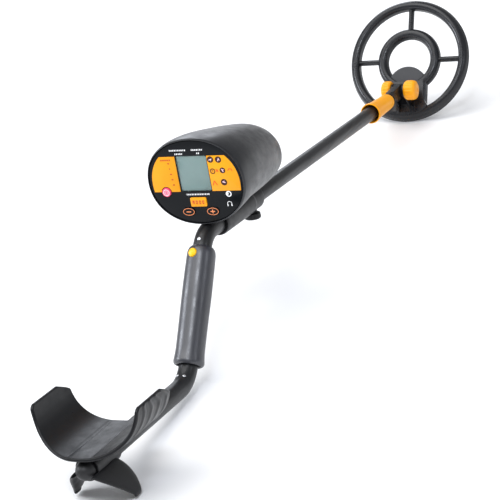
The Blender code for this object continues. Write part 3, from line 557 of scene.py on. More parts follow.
def make_finishes(sizes):
    """All the finishes, from the colours in the settings."""
    shell = tuple(sizes.shell_colour)
    orange = tuple(sizes.orange_colour)
    lighter = tuple(1.6 * c + 0.01 for c in shell)
    # The cup takes the shell's colour darkened to 55 %: painted shade, as if no light bounced up
    # into it.
    cup_shaded = tuple(0.55 * c for c in shell)
    for key, name, colour, rough, grain, depth, vary, spec in (
            ("shell", "shell_plastic_fine", shell, 0.27, 1100.0, 0.00002, 0.12, 0.45),
            ("lobe", "lobe_plastic_fine", lighter, 0.45, 1100.0, 0.00002, 0.08, 0.45),
            ("hood", "hood_plastic", shell, 0.34, 1200.0, 0.00003, 0.1, 0.45),
            ("cup_shaded", "cup_plastic_painted_shade", cup_shaded, 0.34, 1000.0, 0.00003, 0.12, 0.26),
            ("cover", "cover_plastic_fine", (0.02, 0.021, 0.024), 0.55, 900.0, 0.00003,
             0.25, 0.35),
            ("black", "black_plastic_fine", (0.008, 0.008, 0.009), 0.4, 1000.0, 0.00003,
             0.15, 0.32),
            ("grip", "grip_plastic_fine", tuple(sizes.grip_colour), 0.36, 1300.0, 0.00003,
             0.12, 0.85),
            ("orange", "orange_plastic_fine", orange, 0.36, 900.0, 0.00002, 0.05, 0.35),
            ("amber", "amber_plastic", (0.95, 0.5, 0.0), 0.34, 900.0, 0.00001, 0.05,
             0.35),
            ("pink", "power_cap_plastic", (0.88, 0.06, 0.17), 0.32, 900.0, 0.00001, 0.05,
             0.5),
            ("rubber", "rubber_fine", (0.01, 0.01, 0.011), 0.5, 500.0, 0.00004, 0.2,
             0.4)):
        FINISH[key] = moulded_plastic(name, colour, rough, grain, depth, vary, spec)
    for key, name, colour, rough, coat, spec in (
            ("film", "panel_film", (0.003, 0.004, 0.0055), 0.16, 0.0, 0.16),
            ("inlay", "inlay_film", tuple(c * 0.86 for c in orange), 0.34, 0.0, 0.3),
            ("ink_dark", "dark_ink", (0.045, 0.012, 0.006), 0.3, 0.0, 0.3),
            ("ink_red", "red_ink", (0.8, 0.07, 0.01), 0.3, 0.0, 0.3),
            ("ink_white", "white_ink", (0.88, 0.89, 0.9), 0.3, 0.0, 0.3),
            ("ink_orange", "orange_ink", (0.55, 0.08, 0.01), 0.3, 0.0, 0.3),
            ("ink_pale", "pale_orange_ink", (0.8, 0.26, 0.1), 0.3, 0.0, 0.3),
            ("ink_pink", "pale_pink_ink", (0.92, 0.62, 0.68), 0.3, 0.0, 0.3),
            ("board", "board_mask", (0.02, 0.16, 0.07), 0.3, 0.3, 0.3),
            ("cell", "cell_jacket", (0.08, 0.14, 0.3), 0.25, 0.4, 0.3)):
        FINISH[key] = gloss_film(name, colour, rough, coat, spec)
    FINISH["tube"] = coated_tube("tube_coating", (0.008, 0.0085, 0.0095), 0.36)
    FINISH["display"] = display_cell("display_cell_face", tuple(sizes.display_colour))
    FINISH["lens"] = clear_lens("display_lens")
    FINISH["steel"] = bright_metal("plated_steel_fine", (0.66, 0.67, 0.69), 0.24)
    FINISH["wire"] = wound_wire("winding_wire", (0.7, 0.28, 0.11))


# ---- settings -----------------------------------------------------------
class DetectorSettings(bpy.types.PropertyGroup):
    """Sizes and colours that can be changed before the pieces are built."""

    coil_radius: FloatProperty(
        name="Coil radius", description="Outside radius of the search coil",
        default=0.105, min=0.05, max=0.2, unit="LENGTH", precision=4)
    shaft_radius: FloatProperty(
        name="Shaft radius", description="Outside radius of the lower shaft",
        default=0.011, min=0.006, max=0.02, unit="LENGTH", precision=4)
    rod_radius: FloatProperty(
        name="Rod radius", description="Outside radius of the handle rod",
        default=0.0125, min=0.008, max=0.02, unit="LENGTH", precision=4)
    grip_radius: FloatProperty(
        name="Grip radius", description="Outside radius of the hand grip",
        default=0.019, min=0.014, max=0.026, unit="LENGTH", precision=4)
    shell_colour: FloatVectorProperty(
        name="Shell colour", description="Colour of the dark moulded parts",
        default=(0.0085, 0.0093, 0.0118), size=3, subtype="COLOR", min=0.0, max=1.0)
    grip_colour: FloatVectorProperty(
        name="Grip colour", description="Colour of the hand grip",
        default=(0.019, 0.0205, 0.028), size=3, subtype="COLOR", min=0.0, max=1.0)
    orange_colour: FloatVectorProperty(
        name="Orange colour", description="Colour of the knobs, lock sleeve and inlays",
        default=(1.0, 0.39, 0.003), size=3, subtype="COLOR", min=0.0, max=1.0)
    display_colour: FloatVectorProperty(
        name="Display colour", description="Colour of the unlit display",
        default=(0.22, 0.36, 0.34), size=3, subtype="COLOR", min=0.0, max=1.0)


class StudioSettings(bpy.types.PropertyGroup):
    """Camera and light."""

    lens: FloatProperty(
        name="Lens", description="Focal length on a 36 mm wide frame",
        default=139.05, min=20.0, max=400.0, subtype="DISTANCE_CAMERA")
    key_power: FloatProperty(
        name="Key light", description="Strength of the soft overhead light",
        default=2.0, min=0.0, max=50.0)
    room: FloatProperty(
        name="Room light", description="Brightness of the even light all round",
        default=0.42, min=0.0, max=5.0)


# ---- coil ---------------------------------------------------------------
LOBE_X = -0.0453
LOBE_R = 0.034
COVER_T = 0.0022
LOW = COVER_T + 0.0003
SPOKE_ANGLES = {"front": 0.0, "left": 90.0, "right": -90.0}


def lobe_outline(back):
    """Plan of the pivot lobe: half circle in front, straight sides, square back."""
    a = np.linspace(math.pi / 2, -math.pi / 2, 49)
    front = arc(LOBE_R, a, LOBE_X)
    return np.concatenate([front, [(back, -LOBE_R), (back, LOBE_R)]])


def wire_gaps():
    """The two round channels that the windings lie in."""
    wide = lathe([(0.0, 0.0905), (0.01, 0.0912), (0.0108, 0.095), (0.0085, 0.0985),
        (0.0, 0.1008)], 128)
    small = lathe([(0.0, 0.0402), (0.009, 0.0418), (0.009, 0.0492), (0.0, 0.052)], 96)
    return [less(wide), less(small)]


class DETECTOR_OT_coil_rings(bpy.types.Operator):
    """Build the outer and inner rings of the search coil and their flat cover"""

    bl_idname = "detector.coil_rings"
    bl_label = "Coil rings"

    def execute(self, context):
        s = context.scene.detector
        r = s.coil_radius
        outer = contour([(LOW, r - 0.0009, 0.0003), (0.005, r - 0.0016, 0.002),
            (0.009, r - 0.003, 0.003), (0.0124, r - 0.006, 0.003), (0.014, r - 0.0094, 0.0022),
            (0.014, r - 0.012, 0.0018), (0.0128, r - 0.015, 0.002), (0.0095, r - 0.0172, 0.002),
            (LOW, r - 0.0182, 0.0003), (LOW, r - 0.0144, 0.0002), (0.01, r - 0.0138, 0.0006),
            (0.0108, r - 0.01, 0.0006), (0.0085, r - 0.0065, 0.0006),
            (LOW, r - 0.0043, 0.0002)], 5)
        piece("outer_coil_ring", lathe(outer, 176), COIL, "shell", "coil", ("coil_top_shell",))
        inner = contour([(LOW, 0.0549, 0.0003), (0.007, 0.0543, 0.002), (0.011, 0.0518, 0.003),
            (0.0128, 0.0485, 0.0024), (0.0128, 0.043, 0.0024), (0.011, 0.0402, 0.003),
            (0.007, 0.038, 0.002), (LOW, 0.0368, 0.0003), (LOW, 0.0403, 0.0002),
            (0.009, 0.0418, 0.0006), (0.009, 0.0492, 0.0006), (LOW, 0.0519, 0.0002)], 5)
        piece("inner_coil_ring", lathe(inner, 128), COIL, "shell", "coil")
        self.spokes()
        self.cover(r)
        return {"FINISHED"}

    def spokes(self):
        """Three bars with a raised rib along the middle."""
        sec = rounded([(-0.0042, LOW), (0.0042, LOW), (0.0042, 0.005), (0.0025, 0.006),
            (0.0017, 0.0086), (-0.0017, 0.0086), (-0.0025, 0.006), (-0.0042, 0.005)], 0.0008, 4)
        y = np.linspace(0.053, 0.0885, 9)
        for word, angle in SPOKE_ANGLES.items():
            a = math.radians(angle)
            rings = np.zeros((len(y), len(sec), 3))
            rings[..., 0] = y[:, None] * math.cos(a) - sec[None, :, 0] * math.sin(a)
            rings[..., 1] = y[:, None] * math.sin(a) + sec[None, :, 0] * math.cos(a)
            rings[..., 2] = sec[None, :, 1]
            piece("coil_spoke_" + word, skin(rings), COIL, "shell", "coil")

    def cover(self, r):
        """Flat cover: two rings, three bars and the lobe cut as one plate."""
        ring = rounded([(0.0, r - 0.018), (COVER_T, r - 0.0182), (COVER_T, r - 0.0003),
            (0.0, r - 0.001)], 0.0005, 4)
        inner = rounded([(0.0, 0.0371), (COVER_T, 0.0368), (COVER_T, 0.0552), (0.0, 0.0547)],
            0.0005, 4)
        cuts = [plus(lathe(inner, 128)), plus(slab(lobe_outline(-0.093), 0.0, COVER_T, 0.0004))]
        bar = np.array([(0.052, -0.0042), (0.089, -0.0042), (0.089, 0.0042), (0.052, 0.0042)])
        for angle in SPOKE_ANGLES.values():
            turned = spun(bar, angle)
            cuts.append(plus(slab(turned, 0.00005, COVER_T - 0.00005, 0.0003)))
        piece("coil_cover_plate", lathe(ring, 176), COIL, "cover", "coil",
            ("coil_bottom_cover",), cuts=cuts)


class DETECTOR_OT_coil_mount(bpy.types.Operator):
    """Build the coil's pivot lobe, raised housing and two ears"""

    bl_idname = "detector.coil_mount"
    bl_label = "Coil mount"

    def execute(self, context):
        lobe = slab(lobe_outline(-0.0915), LOW, 0.0106, 0.0012, 5)
        piece("pivot_lobe", lobe, COIL, "lobe", "coil", cuts=wire_gaps())
        self.housing()
        self.ears()
        return {"FINISHED"}

    def housing(self):
        """Raised block behind the ears, flared into the outer ring, with a cable pocket."""
        plan = contour([(-0.0375, -0.0312, 0.004), (-0.0375, 0.0312, 0.004),
            (-0.07, 0.0318, 0.01), (-0.0815, 0.0392, 0.004), (-0.088, 0.033, 0.006),
            (-0.093, 0.02, 0.008), (-0.0948, 0.0, 0.008), (-0.093, -0.02, 0.008),
            (-0.088, -0.033, 0.006), (-0.0815, -0.0392, 0.004), (-0.07, -0.0318, 0.01)], 6)
        body = slab(plan, 0.0062, 0.0149, 0.0011, 5)
        pocket = slab(rounded([(-0.0912, -0.01), (-0.0912, 0.01), (-0.078, 0.01),
            (-0.078, -0.01)], 0.0015, 4), 0.0122, 0.02, 0.0004)
        cuts = wire_gaps()
        for side in (-1.0, 1.0):
            y = side * 0.0205
            slot = slab(rounded([(-0.089, y - 0.0042), (-0.089, y + 0.0042),
                (-0.069, y + 0.0042), (-0.069, y - 0.0042)], 0.0012, 4), 0.0136, 0.02, 0.0003)
            cuts.append(less(slot))
        piece("pivot_housing", body, COIL, "shell", "coil", cuts=[less(pocket)] + cuts)

    def ears(self):
        """Two upright ears with round tops and flared feet, drilled for the bolt."""
        px, pz = COIL_PIVOT
        a = np.linspace(math.radians(-4.0), math.radians(184.0), 33)
        top = arc(0.0115, a, px, pz)
        foot = [(px - 0.0215, 0.0148), (px - 0.0225, 0.013), (px + 0.0205, 0.013),
            (px + 0.0195, 0.0148)]
        outline = np.concatenate([top, foot])
        bore = bored(-0.03, 0.03, 0.0034, "Y", 32, px, 0.0, pz)
        for side, word in ((-1.0, "right"), (1.0, "left")):
            lo, hi = sorted((side * 0.0084, side * 0.0112))
            ear = slab(outline, lo, hi, 0.0009, 5, "Y")
            piece("pivot_ear_" + word, ear, COIL, "shell", "coil", cuts=[bore])


class DETECTOR_OT_pivot_hardware(bpy.types.Operator):
    """Build the orange thumb knobs; give the bolt, the friction washers and the windings their
    finishes
    """

    bl_idname = "detector.pivot_hardware"
    bl_label = "Pivot hardware"

    def execute(self, context):
        for side, word, tall in ((-1.0, "right", 1.0), (1.0, "left", 0.82)):
            near = 0.0115
            prof = contour([(0.0166, 0.0033, 0.0003), (0.0, 0.0033, 0.0003),
                (0.0, 0.0138, 0.0006), (0.001, 0.0146, 0.0008), (0.0036, 0.0163, 0.0012),
                (0.014, 0.0163, 0.003), (0.0178, 0.015, 0.003), (0.0196, 0.0118, 0.0026),
                (0.0202, 0.006, 0.0016), (0.02, 0.0033, 0.0003)], 6)
            prof[:, 0] = side * (near + tall * prof[:, 0])
            piece("tilt_knob_" + word, fluted(prof), PIVOT_FRAME, "orange",
                "pivot_knob_" + word, ("pivot_knob_" + word,), crisp=50.0)
            cap = rounded([(0.017, 0.0002), (0.017, 0.0031), (0.019, 0.0031), (0.0196, 0.0024),
                (0.0196, 0.0002)], 0.0005, 4)
            cap[:, 0] = side * (near + tall * cap[:, 0])
            piece("knob_cap_" + word, lathe(cap, 48, "Y"), PIVOT_FRAME, "orange",
                "pivot_knob_" + word)
        paint("pivot_bolt", "steel")
        paint("friction_washer_left", "rubber")
        paint("friction_washer_right", "rubber")
        paint("transmit_winding", "wire")
        paint("receive_winding", "wire")
        return {"FINISHED"}


def fluted(profile, flutes=16, depth=0.0006, count=192):
    """Turned about Y with shallow flutes.

    At angle a the radius loses depth times (0.2 - cos(16 a)) where that is positive;
    the loss fades to nothing 2.2 mm inside the full radius.
    """
    a = np.arange(count) * TAU / count
    full = profile[:, 1].max()
    share = np.clip((profile[:, 1] - full + 0.0022) / 0.0022, 0.0, 1.0)
    wave = np.minimum(0.0, np.cos(flutes * a) - 0.2)
    r = profile[:, 1:2] + depth * share[:, None] * wave[None]
    rings = np.stack([r * np.sin(a), np.broadcast_to(profile[:, :1], r.shape), r * np.cos(a)],
        -1)
    return skin(rings, True)


def paint(node, finish):
    """Give a carried-over CAD node its finish."""
    materials = NODES[node].data.materials
    materials.clear()
    materials.append(FINISH[finish])


# ---- shaft --------------------------------------------------------------
class DETECTOR_OT_yoke(bpy.types.Operator):
    """Build the black yoke between the ears and the stem that carries it"""

    bl_idname = "detector.yoke"
    bl_label = "Yoke and stem"

    def execute(self, context):
        px, pz = PIVOT_X, PIVOT_Z
        a = np.linspace(math.radians(-100.0), math.radians(100.0), 33)
        eye = arc(0.0112, a, px, pz)
        back = [(0.198, 0.0137), (0.17, 0.0118), (0.17, -0.0104), (0.198, -0.0084)]
        outline = np.concatenate([eye, back])
        blade = slab(outline, -0.0062, 0.0062, 0.001, 5, "Y")
        bore = bored(-0.02, 0.02, 0.0033, "Y", 32, px, 0.0, pz)
        neck = lathe(contour([(0.1585, 0.0002, 0.0001), (0.1585, 0.011, 0.0008),
            (0.16, 0.012, 0.001), (0.172, 0.012, 0.002), (0.178, 0.0107, 0.003),
            (0.1828, 0.0062, 0.002), (0.183, 0.0002, 0.0001)], 6), 64, "X")
        spigot = lathe([(0.12, 0.007), (0.16, 0.007)], 48, "X", False)
        piece("coil_yoke", blade, SHAFT, "black", "stem", ("lower_yoke",),
            cuts=[plus(neck), plus(spigot), bore])
        r = 0.009
        prof = rounded([(0.158, r), (0.158, r - 0.0017), (-0.03, r - 0.0017), (-0.03, r)],
            0.0004, 4)
        piece("sliding_stem", lathe(prof, 64, "X"), SHAFT, "tube", "stem", ("stem_tube",))
        return {"FINISHED"}


class DETECTOR_OT_shaft(bpy.types.Operator):
    """Build the lower shaft and the orange lock sleeve; give the end plug and the collet their
    finish
    """

    bl_idname = "detector.shaft"
    bl_label = "Shaft and lock"

    def execute(self, context):
        s = context.scene.detector
        r = s.shaft_radius
        prof = rounded([(0.12, r), (0.12, r - 0.0016), (-0.531, r - 0.0016), (-0.531, r)],
            0.0005, 4)
        piece("lower_shaft", lathe(prof, 80, "X"), SHAFT, "tube", "shaft", ("shaft_tube",))
        a, b = 0.072, 0.158
        sleeve = contour([(b, 0.0093, 0.0003), (b, 0.0113, 0.001), (b - 0.003, 0.0125, 0.002),
            (b - 0.01, 0.0131, 0.004), (b - 0.035, 0.0136, 0.01), (a + 0.026, 0.0144, 0.008),
            (a + 0.011, 0.0156, 0.005), (a + 0.003, 0.0166, 0.0014), (a, 0.0162, 0.0008),
            (a, 0.0147, 0.0006), (a + 0.01, 0.0136, 0.003), (a + 0.022, r + 0.0003, 0.004),
            (b - 0.008, r + 0.0003, 0.0003), (b - 0.008, 0.0093, 0.0003)], 7)
        piece("twist_sleeve", lathe(sleeve, 128, "X"), SHAFT, "orange", "lock_sleeve",
            ("lock_sleeve",), crisp=50.0)
        paint("lock_collet", "rubber")
        paint("shaft_end_plug", "rubber")
        return {"FINISHED"}


# ---- handle -------------------------------------------------------------
def rod_line(points=28):
    """The handle rod's centre line (x, z) and its slope angle at each place.

    Straight under the box, a circular bend down the grip, a second circular bend,
    then straight again below and parallel to the shaft.
    """
    bend = math.radians(GRIP_ANGLE)
    run = BEND_TOP * math.tan(bend / 2)
    a = np.linspace(0.0, bend, points)
    top = np.stack([ROD_CORNER + run - BEND_TOP * np.sin(a), -BEND_TOP + BEND_TOP * np.cos(a)],
        -1)
    reach = -ROD_DROP / math.sin(bend)
    lx = ROD_CORNER - reach * math.cos(bend)
    lrun = BEND_LOW * math.tan(bend / 2)
    b = a[::-1]
    low = np.stack([lx - lrun + BEND_LOW * np.sin(b), ROD_DROP + BEND_LOW * (1.0 - np.cos(b))],
        -1)
    line = np.concatenate([[(-0.412, 0.0)], top, low, [(ROD_END, ROD_DROP)]])
    return line, np.concatenate([[0.0], a, b, [0.0]])


class DETECTOR_OT_handle_rod(bpy.types.Operator):
    """Build the S-shaped handle rod, its end cap and its small screws"""

    bl_idname = "detector.handle_rod"
    bl_label = "Handle rod"

    def execute(self, context):
        s = context.scene.detector
        r = s.rod_radius
        line, slope = rod_line()
        outer = carried(line, slope, circle(r, 64))
        inner = carried(line, slope, circle(r - 0.0012, 64))
        hole = bored(-0.018, -0.008, CLAMP_HOLE, x=CLAMP_X)
        piece("bent_rod", skin(np.concatenate([outer, inner[::-1]]), True), SHAFT, "tube",
            "handle", ("handle_rod",), cuts=[hole])
        back = ROD_END
        cap = contour([(back + 0.018, 0.0085, 0.0004), (back + 0.018, r - 0.0015, 0.0004),
            (back - 0.0003, r - 0.0015, 0.0001), (back - 0.0003, r - 0.0003, 0.0003),
            (back - 0.002, r - 0.0001, 0.0014), (back - 0.007, r - 0.0009, 0.003),
            (back - 0.012, 0.0086, 0.003), (back - 0.015, 0.0048, 0.0026),
            (back - 0.0158, 0.0004, 0.0001), (back + 0.018, 0.0004, 0.0001)], 6)
        cap_place = SHAFT @ shift(0.0, 0.0, ROD_DROP)
        piece("rod_tip", lathe(cap, 64, "X"), cap_place, "rubber", "handle", ("rod_end_cap",),
            crisp=50.0)
        self.screws(r)
        return {"FINISHED"}

    def screws(self, r):
        """Small domed heads with a cross recess, one on the neck, two on the low bend."""
        x = ROD_CORNER + BEND_TOP * math.tan(math.radians(GRIP_ANGLE) / 2)
        place = SHAFT @ shift(x, 0.0, -BEND_TOP) @ turn_y(-45.0)
        piece("neck_screw_head", screw_head(BEND_TOP + r + 0.0002, 0.0027, 0.0016), place,
            "steel", "handle", ("neck_screw",), cuts=cross_cut(BEND_TOP + r + 0.002, 0.0016))
        line, slope = rod_line(6)
        low = line[-4], slope[-4]
        for side, word in ((-1.0, "right"), (1.0, "left")):
            place = SHAFT @ shift(low[0][0], 0.0, low[0][1])
            place = place @ turn_y(-math.degrees(low[1])) @ turn_x(side * -22.0)
            piece("rod_screw_head_" + word, screw_head(r + 0.0002, 0.0022, 0.0013), place,
                "steel", "handle", ("rod_screw_" + word,), cuts=cross_cut(r + 0.0016, 0.0013))


def screw_head(base, radius, height):
    """Low dome: the profile is a rounded trapezium turned about its axis."""
    prof = contour([(base, 0.0002, 0.0001), (base, radius, 0.0002),
        (base + height * 0.5, radius, 0.0004), (base + height, radius * 0.62, 0.0005),
        (base + height, 0.0002, 0.0001)], 5)
    return lathe(prof, 40)


def cross_cut(level, reach):
    """Two crossed slots cut into a screw head."""
    bar = np.array([(-reach, -0.0003), (reach, -0.0003), (reach, 0.0003), (-reach, 0.0003)])
    return [less(thin(spun(bar, a), level - 0.001, level + 0.001)) for a in (20.0, 110.0)]


class DETECTOR_OT_clamp(bpy.types.Operator):
    """Build the clamp housing under the box and its scalloped thumb knob"""

    bl_idname = "detector.clamp"
    bl_label = "Shaft clamp"

    def execute(self, context):
        prof = contour([(-0.408, ROD_BORE, 0.0003), (-0.408, 0.015, 0.0008),
            (-0.41, 0.0158, 0.0008), (-0.436, 0.0158, 0.002), (-0.441, 0.0168, 0.002),
            (-0.532, 0.0168, 0.002), (-0.536, 0.016, 0.0008), (-0.536, ROD_BORE, 0.0003)], 6)
        saddle = slab(box_outline(0.096, 0.024, 0.003), 0.0131, 0.0179, 0.0006)
        saddle = moved(saddle, -0.482, 0.0, 0.0)
        boss = lathe(rounded([(-0.0171, 0.0002), (-0.0171, 0.0069), (-0.014, 0.0072),
            (-0.014, 0.0002)], 0.0005, 4), 48)
        cuts = [plus(saddle), plus(moved(boss, CLAMP_X, 0.0, 0.0)),
            bored(-0.4, -0.55, ROD_BORE, "X", 96),
            bored(-0.02, -0.008, CLAMP_HOLE, x=CLAMP_X)]
        cuts += [bored(0.015, 0.025, 0.0013, x=x) for x in BOX_SCREWS]
        piece("clamp_sleeve", lathe(prof, 96, "X"), SHAFT, "black", "handle",
            ("clamp_housing",), cuts=cuts)
        self.knob()
        paint("clamp_screw", "steel")
        return {"FINISHED"}

    def knob(self):
        """Thumb knob: a turned body with six round scallops cut down its rim."""
        keys = contour([(-0.0175, 0.0031, 0.0003), (-0.0175, 0.0092, 0.0006),
            (-0.0187, 0.0113, 0.001), (-0.0246, 0.0118, 0.0014), (-0.0266, 0.0106, 0.0014),
            (-0.0275, 0.007, 0.001), (-0.0275, 0.0031, 0.0003)], 6)
        cuts = []
        for k in range(6):
            a = TAU * (k + 0.5) / 6
            cuts.append(bored(-0.029, -0.019, 0.003, "Z", 40, 0.0138 * math.cos(a),
                0.0138 * math.sin(a)))
        place = SHAFT @ shift(CLAMP_X, 0.0, 0.0)
        piece("thumb_knob", lathe(keys, 96), place, "black", "clamp_knob", ("clamp_knob",),
            crisp=40.0, cuts=cuts)


class DETECTOR_OT_grip(bpy.types.Operator):
    """Build the moulded grip and its amber push-button"""

    bl_idname = "detector.grip"
    bl_label = "Hand grip"

    def execute(self, context):
        s = context.scene.detector
        r = s.grip_radius
        a, b = GRIP_FROM, GRIP_TO
        prof = contour([(a, 0.0128, 0.0002), (a, 0.014, 0.0008), (a + 0.002, 0.0163, 0.0024),
            (a + 0.006, 0.0183, 0.004), (a + 0.011, r, 0.005), (a + 0.06, r + 0.0006, 0.02),
            (a + 0.11, r, 0.02), (b - 0.018, r, 0.006), (b - 0.009, r + 0.0008, 0.003),
            (b - 0.005, r + 0.0013, 0.002), (b - 0.0018, r + 0.0007, 0.0014),
            (b, r - 0.0012, 0.001), (b, 0.016, 0.0006), (b - 0.012, 0.0128, 0.0003)], 7)
        spot = GRIP @ shift(0.0, 0.0, a + 0.012) @ turn_z(13.0) @ turn_y(90.0)
        hole = lathe([(0.01, 0.0064), (0.03, 0.0064)], 48, "Z", False)
        local = np.linalg.inv(GRIP) @ spot
        hole = (hole[0] @ local[:3, :3].T + local[:3, 3], hole[1])
        piece("moulded_grip", lathe(prof, 112), GRIP, "grip", "handle", ("hand_grip",),
            crisp=50.0, cuts=[less(hole)])
        cap = contour([(0.015, 0.0002, 0.0001), (0.015, 0.0055, 0.0003),
            (0.0153, 0.0061, 0.0003), (0.0192, 0.0061, 0.0012), (0.0204, 0.0052, 0.0014),
            (0.0211, 0.0028, 0.0014), (0.0212, 0.0002, 0.0001)], 6)
        piece("pinpoint_button", lathe(cap, 56), spot, "amber", "grip_button", ("grip_button",),
            crisp=50.0)
        paint("grip_switch", "steel")
        return {"FINISHED"}


# ---- arm cradle and stand -----------------------------------------------
# y and z along half the cradle's cross section, from the wing's top to the middle
CRADLE_KEYS = [(-0.069, -0.094), (-0.0676, -0.103), (-0.0645, -0.114), (-0.0585, -0.1255),
    (-0.048, -0.1361), (-0.034, -0.1435), (-0.018, -0.1473), (0.0, -0.1478)]
CRADLE_HALF = 0.0022
CRADLE_SCREWS = ((-0.918, 0.017), (-0.948, -0.017))


class DETECTOR_OT_cradle(bpy.types.Operator):
    """Build the U-shaped arm cradle with its grooves and rounded rim, and its screws"""

    bl_idname = "detector.cradle"
    bl_label = "Arm cradle"

    def execute(self, context):
        # The cup's finish is the shell plastic darkened as painted shade.
        piece("arm_cup", self.sheet(), SHAFT, "cup_shaded", "handle", ("arm_cradle",), crisp=50.0,
            cuts=screw_holes(-0.16, -0.1468))
        for (hx, hy), word in zip(CRADLE_SCREWS, ("front", "rear")):
            prof = contour([(-0.147, 0.0002, 0.0001), (-0.1472, 0.0012, 0.0002),
                (-0.1537, 0.0012, 0.0001), (-0.1537, 0.0026, 0.0003), (-0.1549, 0.0025, 0.0006),
                (-0.1553, 0.0014, 0.0004), (-0.1553, 0.0002, 0.0001)], 5)
            place = SHAFT @ shift(hx, hy, 0.0)
            piece("cup_screw_" + word, lathe(prof, 48), place, "steel", "handle",
                ("cradle_screw_" + word,), cuts=cross_cut(-0.1557, 0.0018))
        return {"FINISHED"}

    def sheet(self):
        """Bent sheet whose front and rear edges follow powers of the place across.

        With u from -1 to 1 across, the rear edge is at 983 - 30 (1 - (1 - u^2)^2.5) and
        the front edge at 863 + 27 c^1.3 millimetres, c being the share of the outer 14 %.
        Rows and columns crowd towards the rim, where the thickness closes as a circle.
        """
        keys = np.array(CRADLE_KEYS)
        keys = np.concatenate([keys, (keys[:-1] * (-1.0, 1.0))[::-1]])
        line = smooth_rows(keys, 801)
        run = np.concatenate([[0.0], np.cumsum(np.linalg.norm(np.diff(line, axis=0), axis=1))])
        span = -np.cos(np.linspace(0.0, math.pi, 141))
        want = (span + 1.0) * 0.5 * run[-1]
        mid = np.stack([np.interp(want, run, line[:, i]) for i in (0, 1)], -1)
        slope = np.gradient(line, run, axis=0)
        slope = np.stack([np.interp(want, run, slope[:, i]) for i in (0, 1)], -1)
        slope /= np.linalg.norm(slope, axis=1)[:, None]
        normal = np.stack([-slope[:, 1], slope[:, 0]], -1)
        cut = np.clip((np.abs(span) - 0.86) / 0.14, 0.0, 1.0)
        tip = np.clip((np.abs(span) - 0.92) / 0.08, 0.0, 1.0)
        front = 0.863 + 0.027 * cut ** 1.3
        rear = 0.983 - 0.03 * (1.0 - (1.0 - span ** 2) ** 2.5) - 0.008 * tip ** 3
        along = 0.5 - 0.5 * np.cos(np.linspace(0.0, math.pi, 61))
        x = -(front[None] + (rear - front)[None] * along[:, None])
        rim = np.minimum(along, 1.0 - along)[:, None] * (rear - front)[None]
        side = np.minimum(want, run[-1] - want)[None]
        near = np.clip(np.minimum(rim, side) / CRADLE_HALF, 0.0, 1.0)
        half = CRADLE_HALF * np.sqrt(1.0 - (1.0 - near) ** 2)
        # two fine grooves edge the flat strip that lies over the rod
        off = np.abs(mid[:, 0]) - 0.015
        fade = np.clip((np.minimum(along, 1.0 - along) - 0.02) / 0.05, 0.0, 1.0)[:, None]
        groove = 0.0008 * np.exp(-(off / 0.0013) ** 2)[None] * fade
        # low ribs run down the outside of each wing
        wing = np.clip((np.abs(span) - 0.3) / 0.12, 0.0, 1.0)[None]
        ribs = 0.0009 * np.maximum(np.sin((along - 0.06) / 0.88 * 4.0 * TAU), 0.0)[:, None]
        steps = ribs * wing * fade * np.clip(near, 0.0, 1.0)
        up = np.maximum(half - groove, 0.0)
        down = half + steps
        x = x[..., None]
        top = np.concatenate([x, mid + normal * up[..., None]], -1)
        low = np.concatenate([x, mid - normal * down[..., None]], -1)
        return two_sided(top, low)


def screw_holes(low, high):
    """Drills for the two screws that come up through the stand into the cradle."""
    return [bored(low, high, 0.0015, "Z", 32, x, y) for x, y in CRADLE_SCREWS]


def two_sided(top, low):
    """Closed sheet from two equal grids whose edges meet."""
    rows, cols = top.shape[:2]
    count = rows * cols
    verts = np.concatenate([top.reshape(-1, 3), low.reshape(-1, 3)])
    upper = grid_quads(rows, cols, False, False)
    lower = grid_quads(rows, cols, False, False)[:, ::-1] + count
    idx = np.arange(count).reshape(rows, cols)
    ring = np.concatenate([idx[0, :-1], idx[:-1, -1], idx[-1, :0:-1], idx[:0:-1, 0]])
    nxt = np.roll(ring, -1)
    wall = np.stack([ring, ring + count, nxt + count, nxt], -1)
    faces = np.concatenate([upper, lower, wall]).tolist()
    return verts, faces


